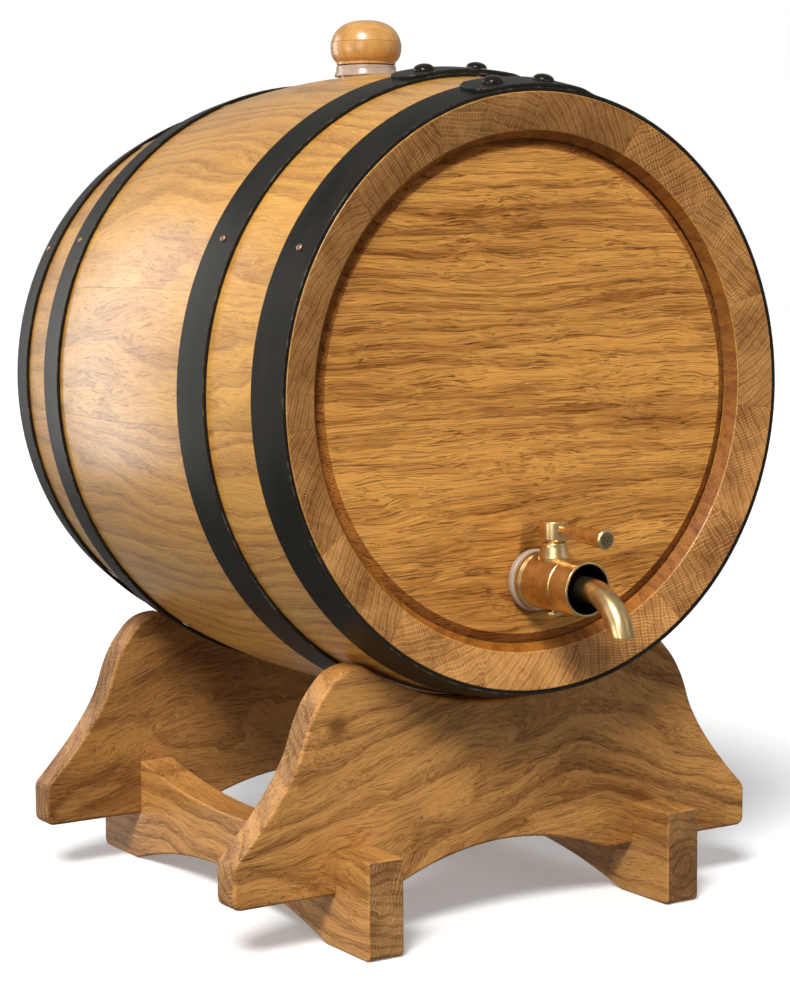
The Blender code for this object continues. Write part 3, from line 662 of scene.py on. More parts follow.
def hoop_steel():
    """Blackened steel strip: satin, faintly mottled and scuffed, and rubbed bright along its edges."""
    s = Shading("hoop_steel")
    strip = s.attribute("strip")
    edge = s.attribute("edge", "Fac")
    cloud = s.noise(strip, (0.05, 0.16), detail=3.0)
    mottle = s.noise(strip, (0.7, 1.1), detail=3.0, rough=0.6)
    rolling = s.noise(strip, (0.03, 4.5))
    scuff = s.span(s.noise(strip, (0.35, 2.6), detail=3.0, rough=0.7, distortion=0.6), 0.66, 0.80)
    chips = s.noise(strip, (0.23, 0.9), detail=4.0, rough=0.75)
    worn = s.times(edge, s.span(chips, 0.48, 0.72, 0.04, 0.55))
    worn = s.math("MAXIMUM", worn, s.times(scuff, 0.10))
    body = s.mix(s.span(cloud, 0.3, 0.7), (0.0072, 0.0062, 0.0044), (0.0140, 0.0120, 0.0086))
    colour = s.mix(worn, body, (0.30, 0.27, 0.22))
    rough = s.add(
        0.42,
        s.about(mottle, 0.20),
        s.about(cloud, 0.12),
        s.times(scuff, 0.08),
        s.times(s.attribute("polish", "Fac"), -0.18),
    )
    height = s.add(s.about(mottle, 0.8), s.about(rolling, 0.5))
    return s.surface(
        Base_Color=colour,
        Metallic=s.times(worn, 0.85),
        Roughness=rough,
        Normal=s.bump(height, 0.00003),
        Specular_IOR_Level=0.20,
        Specular_Tint=(1.0, 0.93, 0.80, 1.0),
    )


def turned_metal(name, light, dark, roughness, metallic, lines, relief):
    """Metal brushed round its axis, a little tarnished in patches, painted near black inside the tap's mouth
    as painted shade, and darker on the lever's flat end.
    """
    s = Shading(name)
    turning = s.attribute("turning")
    mouth_shade_end_dark = s.attribute("mouth_shade_end_dark", "Fac")
    brushed = s.noise(turning, (0.10, 0.10, lines), rough=0.6)
    patch = s.noise(turning, (0.22, 0.22), detail=3.0)
    grit = s.noise(turning, (2.2, 2.2))
    tarnish = s.span(s.add(patch, s.about(grit, 0.25)), 0.35, 0.75)
    colour = s.mix(tarnish, light, dark)
    shade_and_dark_mask = s.span(s.add(mouth_shade_end_dark, s.about(grit, 0.5)), 0.15, 0.60)
    # Near black here: painted shade in the tap's mouth, and a darker flat end on the lever.
    colour = s.mix(shade_and_dark_mask, colour, (0.016, 0.011, 0.007))
    rough = s.add(
        roughness,
        s.about(brushed, 0.14),
        s.about(patch, 0.14),
        s.about(grit, 0.06),
        s.times(shade_and_dark_mask, 0.3),
    )
    height = s.add(s.about(brushed, 1.0), s.about(grit, 0.25))
    return s.surface(
        Base_Color=colour, Metallic=metallic, Roughness=rough, Normal=s.bump(height, relief)
    )


def silicone():
    """Clear soft plastic, slightly cloudy."""
    s = Shading("silicone")
    turning = s.attribute("turning")
    cloud = s.noise(turning, (0.35, 0.35))
    colour = s.mix(cloud, (0.60, 0.44, 0.32), (0.78, 0.61, 0.47))
    return s.surface(
        Base_Color=colour,
        Roughness=s.add(0.26, s.about(cloud, 0.10)),
        Transmission_Weight=0.40,
        IOR=1.41,
        Coat_Weight=0.2,
        Coat_Roughness=0.20,
        Normal=s.bump(cloud, 0.00004),
    )


def floor_paint():
    s = Shading("floor")
    position = s.node("NewGeometry")
    grain = s.noise(position, (60.0, 60.0, 60.0))
    return s.surface(
        Base_Color=s.mix(grain, (0.86, 0.86, 0.86), (0.88, 0.88, 0.88)),
        Roughness=s.add(0.75, s.about(grain, 0.1)),
        Specular_IOR_Level=0.15,
        Emission_Color=(1.0, 1.0, 1.0, 1.0),
        Emission_Strength=0.22,
    )


# How a finish shows the grain: stretch, flow, warp, sway and curl shape it, ring and year space the
# seasons in mm, rays counts the end grain's fan, and the rest are strengths, tints and gloss.
NO_KNOT = (-50, 0, 0)
# Each look's recess tint darkens the faces in the recess in front of a head: painted shade.
VARNISHED = SimpleNamespace(
    stretch=0.9, flow=1.0, warp=22.0, sway=5.0, curl=0.45, ring=5.2, early=0.42, strand=1.1, fibre=0.7,
    broad=1.0, lines=0.34, pores=0.26, drift=0.22, roughness=0.38, relief=0.00005, coat=0.60,
    shine=0.30, stain=(0.53, 0.36, 0.165), year=1.25, rays=108.0, base=0.18, net=0.50, band=0.14,
    end_sway=0.35, knot=NO_KNOT,
)
SCRAPED = SimpleNamespace(
    stretch=0.5, flow=0.8, warp=13.0, sway=4.0, curl=0.40, ring=4.8, early=0.32, strand=1.3, fibre=0.8,
    broad=1.6, lines=0.46, pores=0.36, drift=0.16, roughness=0.50, relief=0.00022, coat=0.05,
    shine=0.25, stain=(0.56, 0.43, 0.30), year=1.2, rays=90.0, base=0.20, net=0.40, band=0.20,
    end_sway=0.4, knot=NO_KNOT,
)
OILED = SimpleNamespace(
    stretch=0.85, flow=1.2, warp=26.0, sway=5.0, curl=0.40, ring=6.5, early=0.36, strand=1.3, fibre=0.7,
    broad=1.3, lines=0.26, pores=0.36, drift=0.24, roughness=0.46, relief=0.00012, coat=0.12,
    shine=0.26, stain=(0.62, 0.50, 0.38), year=1.5, rays=70.0, base=0.06, net=0.38, band=0.22,
    end_sway=0.9, knot=(292.0, 83.6, 0.0),
)

# Each wood's light, dark and pore colours along the grain, its light and dark across it, and its look
OAKS = {
    "oak_staves": (
        (0.72, 0.370, 0.075), (0.35, 0.145, 0.026), (0.15, 0.056, 0.012),
        (0.71, 0.355, 0.105), (0.23, 0.082, 0.015), VARNISHED,
    ),
    "oak_heads": (
        (0.82, 0.375, 0.078), (0.30, 0.092, 0.008), (0.13, 0.040, 0.004),
        (0.60, 0.29, 0.085), (0.24, 0.090, 0.020), SCRAPED,
    ),
    "oak_cradle": (
        (0.63, 0.300, 0.080), (0.22, 0.080, 0.013), (0.13, 0.044, 0.006),
        (0.63, 0.345, 0.120), (0.22, 0.088, 0.022), OILED,
    ),
}
# Each metal's bright and tarnished colours, roughness, metallic value, brush lines per mm and relief
METALS = {
    "nail_copper": ((0.36, 0.21, 0.135), (0.14, 0.085, 0.06), 0.42, 0.85, 2.0, 0.00003),
    "brass": ((0.80, 0.57, 0.28), (0.50, 0.335, 0.145), 0.31, 1.0, 7.0, 0.00002),
}
MATERIALS = {name: oak(name, *colours_and_look) for name, colours_and_look in OAKS.items()}
MATERIALS.update((name, turned_metal(name, *finish)) for name, finish in METALS.items())
MATERIALS.update(bung_wood=bung_wood(), hoop_steel=hoop_steel(), silicone=silicone())


# --- Keg ---


def shell_radius(z):
    """The outer radius of the keg, at this distance from its middle."""
    return BELLY_RADIUS - (BELLY_RADIUS - END_RADIUS) * (z / HALF_LENGTH) ** 2


def stave_outline():
    """(radius, z) round a stave's long section, with its ends eased by hand."""
    count = 30
    face = HALF_LENGTH - HEAD_RECESS
    back = face - HEAD_THICKNESS
    groove = LIP_RADIUS + CROZE_DEPTH
    points = []
    for i in range(count + 1):
        z = HALF_LENGTH * (1 - 2 * i / count)
        ease = (0.0004,) if i in (0, count) else ()
        points.append((shell_radius(z), z, *ease))
    end = [
        (CHIME_RADIUS, HALF_LENGTH - CHIME_FALL, 0.0007),
        (WALL_FOOT_RADIUS, face - 0.0004),
        (groove, face - 0.0006),
        (groove, back + 0.0004),
        (LIP_RADIUS, back + 0.0002),
    ]
    inner_half = back - 0.0004
    points += [(radius, -z, *ease) for radius, z, *ease in end]
    inner_count = 14
    for i in range(inner_count + 1):
        z = inner_half * (2 * i / inner_count - 1)
        bulge = (BELLY_INNER_RADIUS - LIP_RADIUS) * (1 - (z / inner_half) ** 2)
        points.append((LIP_RADIUS + bulge, z))
    return fillet(points + end[::-1], closed=True)


def inset(outline, distance):
    """The closed outline moved inward, toward the wood."""
    moved = []
    for i, point in enumerate(outline):
        along = outline[(i + 1) % len(outline)] - outline[i - 1]
        across = Vector((along.y, -along.x))
        if across.length > 1e-9:
            across.normalize()
        moved.append(point + across * distance)
    return moved


def make_stave(number, start, width):
    """One stave: a curved plank whose long edges are eased, so that each seam shows as a fine line."""
    name = f"keg_stave_{number:02d}"
    outline = stave_outline()
    eased = inset(outline, SEAM_EASE)
    margin = degrees(SEAM / 2 / END_RADIUS)
    ease = degrees(SEAM_EASE_WIDTH / END_RADIUS)
    first = start + margin
    last = start + width - margin
    stations = [(first, eased), (first + ease, outline)]
    for k in range(1, STAVE_STEPS):
        stations.append((first + ease + (last - first - 2 * ease) * k / STAVE_STEPS, outline))
    stations += [(last - ease, outline), (last, eased)]
    sections = []
    for angle, section in stations:
        turn = Matrix.Rotation(radians(angle), 3, "Z")
        sections.append([turn @ Vector((radius, 0, z)) for radius, z in section])
    mesh = finished_mesh(loft(sections, capped=True), name, KEG)
    return piece(name, mesh, "oak_staves", "keg", f"stave_{number:02d}")


def stave_frame(middle):
    """Turns a world point into the plank's frame: along the keg, across the stave, and out."""
    to_keg = frame_of(KEG)
    turn = Matrix.Rotation(-radians(middle), 3, "Z")

    def place(point):
        out, across, along = turn @ to_keg(point)
        bend = shell_radius(along) - END_RADIUS
        return Vector((along, across, out - END_RADIUS - GRAIN_BEND * bend))

    return place


def on_recess_wall(face):
    """Whether a stave's face lines the recess in front of a head, where it is darkened as painted shade."""
    place = KEG.inverted() @ face.center
    return abs(place.z) > HALF_LENGTH - HEAD_RECESS - 0.0010 and place.xy.length < CHIME_RADIUS - 0.0002


def make_staves():
    """All the staves, each from its own part of a log."""
    start = FIRST_JOINT
    keg_axis = KEG.to_3x3() @ Vector((0, 0, 1))
    bung_low = BUNG.translation - Vector((0, 0, 0.03))
    bung_high = BUNG.translation + Vector((0, 0, 0.01))
    for number, width in enumerate(STAVE_WIDTHS, 1):
        obj = make_stave(number, start, width)
        reach = degrees(BUNG_HOLE_RADIUS / BELLY_RADIUS)
        if start < 90 + reach and start + width > 90 - reach:
            drill(obj, BUNG_HOLE_RADIUS, bung_low, bung_high)
        pith = (RANDOM.uniform(45, 110), RANDOM.choice((-1, 1)) * RANDOM.uniform(15, 80))
        tone = (RANDOM.uniform(0.88, 1.12), RANDOM.uniform(0.0, 0.6), RANDOM.uniform(0.8, 1.15))
        shift = 700 * number + RANDOM.uniform(0, 300)
        cut_from_log(obj, stave_frame(start + width / 2), keg_axis, pith, shift, tone, on_recess_wall)
        start += width


def make_head(name, node, matrix, shift, hole):
    edge = LIP_RADIUS + CROZE_DEPTH - 0.0004
    outline = [(HEAD_FACE_RADIUS * part, 0) for part in (0, 0.25, 0.5, 0.75)]
    outline += [
        (HEAD_FACE_RADIUS, 0, 0.0004),
        (edge, -0.0018, 0.0003),
        (edge, 0.0020 - HEAD_THICKNESS, 0.0005),
        (HEAD_FACE_RADIUS, -HEAD_THICKNESS, 0.0006),
        (0, -HEAD_THICKNESS),
    ]
    mesh = finished_mesh(lathe(fillet(outline), 144), name, matrix)
    obj = piece(name, mesh, "oak_heads", "keg", node)
    if hole:
        drill(obj, SHANK_RADIUS + LOOSE_FIT, TAP @ Vector((0, 0, -0.012)), TAP @ Vector((0, 0, 0.004)))
    to_head = frame_of(matrix)

    # The head's bevelled rim down in the recess is darkened as painted shade.
    def bevelled(face):
        place = to_head(face.center)
        return place.xy.length > HEAD_FACE_RADIUS and abs(place.z) < 0.0020

    cut_from_log(obj, to_head, Vector((1, 0, 0)), (62, 50), shift, (1, 0.1, 1), bevelled)


def make_heads():
    face = HALF_LENGTH - HEAD_RECESS
    front = KEG @ Matrix.Translation((0, 0, face))
    rear = KEG @ Matrix.Translation((0, 0, -face)) @ Matrix.Rotation(pi, 4, "Y")
    make_head("keg_head_front", "head_front", front, 210, True)
    make_head("keg_head_rear", "head_rear", rear, 5210, False)


def hoop_path(lap_centre):
    """(angle, lift of the top, lift of the underside, width) from a hoop's hidden end to its tip."""
    lift = HOOP_THICKNESS + 0.0001
    first = lap_centre - LAP_HALF_ANGLE
    ramp_start = first + 360 - LAP_RAMP - 2 * LAP_STEP
    steps = 150
    path = [(first + (ramp_start - first) * i / steps, 0, 0, HOOP_WIDTH) for i in range(steps)]
    for i in range(7):
        part = i / 6
        path.append((ramp_start + LAP_RAMP * part, lift * part * part * (3 - 2 * part), 0, HOOP_WIDTH))
    lap_start = ramp_start + LAP_RAMP + LAP_STEP
    lap = 2 * LAP_HALF_ANGLE - TONGUE_TAPER
    for i in range(11):
        path.append((lap_start + (lap + LAP_STEP) * i / 10, lift, lift, HOOP_WIDTH))
    tip = first + 360 + lap
    path.append((tip + TONGUE_TAPER * 0.92, lift, lift, TONGUE_TIP_WIDTH + 0.0008))
    path.append((tip + TONGUE_TAPER, lift, lift, TONGUE_TIP_WIDTH))
    return path


def hoop_profile(width):
    """(place across the strip, height, wear) round the strip's section, its outer edges rolled over."""
    half = width / 2
    rim = []
    for k in range(5):
        angle = pi / 2 * k / 4
        across = half - HOOP_EDGE * (1 - cos(angle))
        rim.append((across, HOOP_THICKNESS - HOOP_EDGE * (1 - sin(angle)), 1))
    rim.append((half - HOOP_EDGE - 0.00015, HOOP_THICKNESS, 0))
    right = [(half, 0, 0), (half, (HOOP_THICKNESS - HOOP_EDGE) * 0.6, 0)] + rim
    middle = [(half * part, HOOP_THICKNESS, 0) for part in (0.5, 0, -0.5)]
    return right + middle + [(-x, height, wear) for x, height, wear in reversed(right)]


def make_hoop(number, centre, lap_centre):
    name = f"keg_hoop_{number}"
    sections = []
    strip = []
    wear_of = []
    for angle, top_lift, low_lift, width in hoop_path(lap_centre):
        turn = Matrix.Rotation(radians(angle), 3, "Z")
        section = []
        for across, height, wear in hoop_profile(width):
            z = centre + across
            lift = top_lift if height > 0 else low_lift
            radius = shell_radius(z) + HOOP_LIFT + lift + height
            section.append(turn @ Vector((radius, 0, z)))
            strip.append(Vector((radians(angle) * END_RADIUS, across, number)) * 1000)
            wear_of.append(wear)
        sections.append(section)
    mesh = finished_mesh(loft(sections, capped=True), name, KEG, 50)
    set_points(mesh, "strip", strip)
    set_numbers(mesh, "edge", wear_of)
    piece(name, mesh, "hoop_steel", "keg", f"hoop_{number}")


def hoop_frame(angle, z):
    """The keg's surface under a hoop at this angle, with z square to its slope."""
    spin = Matrix.Rotation(radians(angle), 3, "Z")
    slope = 2 * (BELLY_RADIUS - END_RADIUS) * z / HALF_LENGTH**2
    out = spin @ Vector((1, 0, slope))
    place = spin @ Vector((shell_radius(z), 0, z))
    return KEG @ Matrix.Translation(place) @ out.to_track_quat("Z", "Y").to_matrix().to_4x4()


def dome(radius, height, seat, count=8):
    """A low domed head with a small flat land round its rim."""
    land = height * 0.16
    points = [(radius, seat), (radius, seat + land)]
    for i in range(1, count + 1):
        angle = pi / 2 * i / count
        points.append((radius * 0.97 * cos(angle), seat + land + (height - land) * sin(angle)))
    points[-1] = (0, seat + height)
    return points[::-1]


def make_rivet(number, index, centre, angle):
    name = f"keg_hoop_{number}_rivet_{index}"
    matrix = hoop_frame(angle, centre)
    seat = 2 * HOOP_THICKNESS + 0.0003
    outline = dome(RIVET_HEAD_RADIUS, RIVET_HEAD_HEIGHT, seat)
    outline += [(RIVET_SHANK_RADIUS, seat), (RIVET_SHANK_RADIUS, 0.0002), (0, 0.0002)]
    mesh = finished_mesh(lathe(outline, 40), name, matrix)
    to_rivet = frame_of(matrix)
    local = [to_rivet(vert.co) for vert in mesh.vertices]
    shift = Vector((31 * index, 7, number))
    set_points(mesh, "strip", [point * 1000 + shift for point in local])
    set_numbers(mesh, "edge", [0.5 if point.z < seat + 0.0004 else 0.0 for point in local])
    set_numbers(mesh, "polish", [1.0] * len(local))
    piece(name, mesh, "hoop_steel", "keg", f"hoop_{number}_rivet_{index}")


def make_nail(number, index, centre, angle):
    name = f"keg_hoop_{number}_nail_{index}"
    matrix = hoop_frame(angle, centre)
    seat = HOOP_THICKNESS + HOOP_LIFT
    outline = dome(NAIL_HEAD_RADIUS, NAIL_HEAD_HEIGHT, seat, 6)
    outline += [(NAIL_SHANK_RADIUS, seat), (NAIL_SHANK_RADIUS, 0.0020 - NAIL_LENGTH), (0, -NAIL_LENGTH)]
    mesh = finished_mesh(lathe(outline, 28), name, matrix)
    mark_turning(piece(name, mesh, "nail_copper", "keg", f"hoop_{number}_nail_{index}"), matrix)


def make_hoops():
    chime = HALF_LENGTH - CHIME_HOOP_FROM_END - HOOP_WIDTH / 2
    quarter = HALF_LENGTH - QUARTER_HOOP_FROM_END - HOOP_WIDTH / 2
    centres = (chime, quarter, -quarter, -chime)
    for number, (centre, lap_centre) in enumerate(zip(centres, LAP_CENTRES), 1):
        make_hoop(number, centre, lap_centre)
        for index, side in enumerate((-1, 1), 1):
            make_rivet(number, index, centre, lap_centre + side * RIVET_OFFSET)
        for index, angle in enumerate(NAIL_ANGLES, 1):
            make_nail(number, index, centre, angle)


# --- Bung ---


def turned_piece(name, outline, matrix, material, body, node, steps=72, closed=False, shade_and_dark_end=None):
    mesh = finished_mesh(lathe(fillet(outline, closed=closed), steps, closed), name, matrix)
    obj = piece(name, mesh, material, body, node)
    mark_turning(obj, matrix, shade_and_dark_end)
    return obj


def make_bung():
    neck = COLLAR_HEIGHT + 0.0006
    groove = 0.0106
    outline = [(0, KNOB_TOP)]
    rim = (KNOB_RADIUS - 0.00008, groove - 0.0002)
    outline += bezier((0, KNOB_TOP), (0.0092, KNOB_TOP + 0.0002), (KNOB_RADIUS - 0.0002, groove + 0.0002), 18)
    outline += [(KNOB_RADIUS - 0.00030, groove), rim]
    outline += bezier(rim, (KNOB_RADIUS + 0.0003, 0.0062), (BUNG_NECK_RADIUS, neck + 0.0009), 14)
    outline += [
        (BUNG_NECK_RADIUS, neck, 0.0003),
        (BUNG_SHANK_RADIUS, neck),
        (BUNG_SHANK_RADIUS, 0.0),
        (BUNG_TIP_RADIUS, -BUNG_DEPTH, 0.0008),
        (0, -BUNG_DEPTH),
    ]
    bung = turned_piece("bung_stopper", outline, BUNG, "bung_wood", "bung", "bung")
    to_bung = frame_of(BUNG)
    cut_from_log(bung, lambda point: to_bung(point).zxy, Vector((0, 0, 1)), (60, 20), 90, (1, 0, 1))


def make_seal():
    foot = 0.0002
    top = COLLAR_HEIGHT + 0.0003
    outline = [
        (SEAL_BORE, top, 0.0003),
        (COLLAR_TOP_RADIUS, top, 0.0004),
        (COLLAR_TOP_RADIUS, top - 0.0012, 0.0010),
        (COLLAR_FOOT_RADIUS, foot + 0.0004, 0.0002),
        (COLLAR_FOOT_RADIUS, foot, 0.0001),
        (SEAL_RADIUS, foot, 0.0002),
        (SEAL_RADIUS - 0.0003, foot - SEAL_DEPTH, 0.0004),
        (SEAL_BORE, foot - SEAL_DEPTH, 0.0003),
    ]
    turned_piece("bung_sleeve", outline, BUNG, "silicone", "bung", "bung_seal", closed=True)


# --- Tap ---


def in_mouth(point):
    """Whether a point of the tap's body is on the wall or floor of its mouth, behind the rim: there it is
    painted near black as painted shade.
    """
    behind_rim = TAP_FRONT - MOUTH_DEPTH - 0.0010 < point.z < TAP_FRONT - 0.0006
    return behind_rim and point.xy.length < MOUTH_RADIUS + 0.0001


def on_lever_end(point):
    """How dark the lever's flat end is painted, inside its rim."""
    on_face = point.z > LEVER_LENGTH - 0.0001 and point.xy.length < LEVER_TIP_RADIUS - 0.0008
    return 0.42 if on_face else 0.0


def make_tap_body():
    foot = WASHER_THICKNESS + 0.0004
    seam = TAP_FRONT - 0.0084
    outline = [
        (0, TAP_FRONT - MOUTH_DEPTH),
        (MOUTH_RADIUS, TAP_FRONT - MOUTH_DEPTH, 0.0003),
        (MOUTH_RADIUS, TAP_FRONT - 0.0012),
        (MOUTH_RADIUS, TAP_FRONT, 0.00025),
        (TAP_RADIUS, TAP_FRONT, 0.0004),
        (TAP_RADIUS, seam + 0.0002),
        (TAP_RADIUS - 0.00018, seam),
        (TAP_RADIUS, seam - 0.0002),
        (TAP_RADIUS, foot + FLANGE_THICKNESS + 0.0003, 0.0002),
        (FLANGE_RADIUS, foot + FLANGE_THICKNESS, 0.0002),
        (FLANGE_RADIUS, foot, 0.0003),
        (SHANK_RADIUS, foot),
        (SHANK_RADIUS, SHANK_BACK + 0.0008),
        (SHANK_RADIUS - 0.0008, SHANK_BACK),
        (0, SHANK_BACK),
    ]
    body = turned_piece("tap_barrel", outline, TAP, "brass", "keg", "tap_body", 96, shade_and_dark_end=in_mouth)
    drill(body, PLUG_RADIUS + CLEARANCE, KEY @ Vector((0, 0, -0.012)), KEY @ Vector((0, 0, 0.014)))
    boss = [
        (PLUG_RADIUS + CLEARANCE, BOSS_TOP),
        (BOSS_TOP_RADIUS, BOSS_TOP, 0.0003),
        (BOSS_TOP_RADIUS + 0.0001, BOSS_TOP - 0.0012, 0.0012),
        (BOSS_FOOT_RADIUS, TAP_RADIUS + 0.0008, 0.0010),
        (BOSS_FOOT_RADIUS + 0.0003, TAP_RADIUS - 0.0001, 0.0003),
        (BOSS_FOOT_RADIUS, BOSS_BOTTOM),
        (PLUG_RADIUS + CLEARANCE, BOSS_BOTTOM),
    ]
    turned_piece("tap_boss", boss, KEY, "brass", "keg", "tap_body", 56, closed=True)


def make_washer_and_nut():
    washer = [
        (SHANK_RADIUS + LOOSE_FIT, WASHER_THICKNESS + 0.0002),
        (WASHER_RADIUS, WASHER_THICKNESS + 0.0002, 0.0009),
        (WASHER_RADIUS, 0.0001, 0.0009),
        (SHANK_RADIUS + LOOSE_FIT, 0.0001),
    ]
    turned_piece("tap_gasket", washer, TAP, "silicone", "keg", "tap_washer", closed=True)
    top = -HEAD_THICKNESS - 0.0003
    bottom = top - NUT_THICKNESS
    corner = NUT_HALF_WIDTH / cos(pi / 6)
    nut = [
        (SHANK_RADIUS + CLEARANCE, top),
        (corner - 0.0012, top),
        (corner, top - 0.0006),
        (corner, bottom + 0.0006),
        (corner - 0.0012, bottom),
        (SHANK_RADIUS + CLEARANCE, bottom),
    ]
    turned_piece("tap_locknut", nut, TAP, "brass", "keg", "tap_nut", 6, closed=True)


def spout_path():
    """Points (forward, down) and headings along the spout's middle line."""
    start = TAP_FRONT - MOUTH_DEPTH - 0.0010
    path = [((start + (SPOUT_BEND_START - start) * i / 6, 0), 0) for i in range(7)]
    steps = 26
    for i in range(1, steps + 1):
        angle = radians(SPOUT_BEND * i / steps)
        forward = SPOUT_BEND_START + SPOUT_BEND_RADIUS * sin(angle)
        path.append(((forward, SPOUT_BEND_RADIUS * (1 - cos(angle))), angle))
    return path


def spout_ring(radius, forward, drop, heading):
    """Points round the spout's tube, at one place along its middle line."""
    count = 40
    normal = Vector((0, cos(heading), sin(heading)))
    middle = Vector((0, -drop, forward))
    ring = []
    for k in range(count):
        turn = 2 * pi * k / count
        ring.append(middle + radius * (Vector((cos(turn), 0, 0)) + normal * sin(turn)))
    return ring


def make_spout():
    """A bent tube whose lip is cut level and slightly rolled."""
    path = spout_path()
    heading = path[-1][1]
    axis = Vector((0, -sin(heading), cos(heading)))

    def level(ring, drop):
        """The ring slid along the tube's end until its points lie at one height."""
        return [point + axis * ((-drop - point.y) / axis.y) for point in ring]

    walls = []
    lips = []
    edges = []
    for radius in (SPOUT_RADIUS, SPOUT_BORE):
        rings = [spout_ring(radius, forward, drop, angle) for (forward, drop), angle in path]
        walls.append([ring for ring in rings[:-1] if min(p.y for p in ring) > 0.0012 - SPOUT_DROP])
        lips.append(level(rings[-1], SPOUT_DROP))
        edges.append(level(rings[-1], SPOUT_DROP - 0.0003))
    lip = [[p.lerp(q, part) for p, q in zip(*lips)] for part in (0.10, 0.5)]
    sections = walls[0] + [edges[0], *lip, edges[1]] + walls[1][::-1]
    mesh = finished_mesh(loft(sections, closed=True), "tap_spout_tube", TAP, 50)
    mark_turning(piece("tap_spout_tube", mesh, "brass", "keg", "tap_spout"), TAP)


def make_key():
    seat = BOSS_TOP + CLEARANCE
    outline = [
        (0, KEY_TOP),
        (KEY_HEAD_RADIUS, KEY_TOP, 0.0005),
        (KEY_HEAD_RADIUS, seat + 0.0008, 0.0003),
        (KEY_HEAD_RADIUS - 0.0008, seat, 0.0002),
        (PLUG_RADIUS, seat),
        (PLUG_RADIUS, KEY_BOTTOM),
        (0, KEY_BOTTOM),
    ]
    turned_piece("tap_key_head", outline, KEY, "brass", "key", "tap_key")
    root = KEY_HEAD_RADIUS - 0.0004
    lever = [
        (0, LEVER_LENGTH),
        (LEVER_TIP_RADIUS - 0.0009, LEVER_LENGTH),
        (LEVER_TIP_RADIUS - 0.0005, LEVER_LENGTH, 0.0002),
        (LEVER_TIP_RADIUS, LEVER_LENGTH - 0.0005, 0.0003),
        (LEVER_ROOT_RADIUS, root),
        (0, root),
    ]
    turned_piece("tap_key_lever", lever, LEVER, "brass", "key", "tap_lever", 56, shade_and_dark_end=on_lever_end)
    face = -TAP_RADIUS - CLEARANCE
    screw = [
        (0, SCREW_TOP),
        (SCREW_RADIUS, SCREW_TOP),
        (SCREW_RADIUS, face),
        (SCREW_HEAD_RADIUS, face, 0.0001),
        (SCREW_HEAD_RADIUS, face - 0.0008, 0.0003),
        (SCREW_HEAD_RADIUS - 0.0004, face - 0.0012, 0.0002),
        (0, face - 0.0012),
    ]
    turned_piece("tap_key_stud", screw, KEY, "brass", "key", "tap_key_screw", 40)


# --- Cradle ---


def slab(outline, thickness, matrix, name, crisp):
    """A board cut to an outline of (x, y, radius). Its edges are rounded except where crisp(x, y) says."""
    points = fillet(outline, 6, closed=True)
    bm = loft([[(x, y, z) for x, y in points] for z in (thickness / 2, -thickness / 2)], capped=True)
    bmesh.ops.recalc_face_normals(bm, faces=bm.faces)
    rounded = []
    for edge in bm.edges:
        middle = (edge.verts[0].co + edge.verts[1].co) / 2
        if len(edge.link_faces) == 2 and edge.calc_face_angle() > 1.0 and not crisp(middle.x, middle.y):
            rounded.append(edge)
    bevel = {"segments": 4, "profile": 0.5, "affect": "EDGES", "clamp_overlap": True}
    bmesh.ops.bevel(bm, geom=rounded, offset=CRADLE_ROUNDING, **bevel)
    return finished_mesh(bm, name, matrix, 40)


def in_lap(centre, width, side):
    """Says which outline points are at a half-lap on this side of its middle, whose edges stay crisp."""

    def crisp(x, y):
        return abs(abs(x) - centre) < width / 2 + 0.001 and side * (HALVING_HEIGHT - y) > -0.001

    return crisp


def make_plank(name, mesh, to_plank, grain, pith, shift, tone):
    """One of the cradle's planks. Its flat faces stay flat where they meet rounded edges."""
    obj = piece(name, mesh, "oak_cradle", "cradle", f"cradle_{name}")
    obj.modifiers.new("normals", "WEIGHTED_NORMAL").keep_sharp = True
    bpy.context.view_layer.update()
    bake_modifiers(obj)
    cut_from_log(obj, to_plank, grain, pith, shift, tone)


def board_outline():
    """Saddle, horn, waist and foot on the right, and underneath the rail notch and the arch."""
    radius = shell_radius(BOARD_FRONT - BOARD_THICKNESS) + 0.0003
    points = []
    count = 16
    for i in range(count + 1):
        angle = radians(SADDLE_HALF_ANGLE * (i + 0.5) / (count + 0.5))
        points.append((radius * sin(angle), AXIS_Z - radius * cos(angle)))
    x, y = points[-1]
    points += bezier((x, y), (x + HORN_CREST[0], y + HORN_CREST[1]), HORN_TIP, 9)
    points += bezier(HORN_TIP, HORN_HANDLE, WAIST, 12)
    points += bezier(WAIST, FOOT_HANDLE, (BOARD_HALF_WIDTH, FOOT_TOP), 14)[:-1]
    points.append((BOARD_HALF_WIDTH, FOOT_TOP, 0.0040))
    points.append((BOARD_HALF_WIDTH, BOARD_BOTTOM, 0.0030))
    notch_top = HALVING_HEIGHT + JOINT_GAP / 2
    outer = RAIL_SPACING + RAIL_WIDTH / 2 + JOINT_GAP
    inner = RAIL_SPACING - RAIL_WIDTH / 2 - JOINT_GAP
    points += [(outer, BOARD_BOTTOM), (outer, notch_top), (inner, notch_top), (inner, BOARD_BOTTOM)]
    steps = 17
    for i in range((steps + 1) // 2):
        across = 1 - 2 * i / steps
        points.append((ARCH_HALF_WIDTH * across, BOARD_BOTTOM + ARCH_RISE * (1 - across * across)))
    return points + [(-x, y, *ease) for x, y, *ease in reversed(points)]


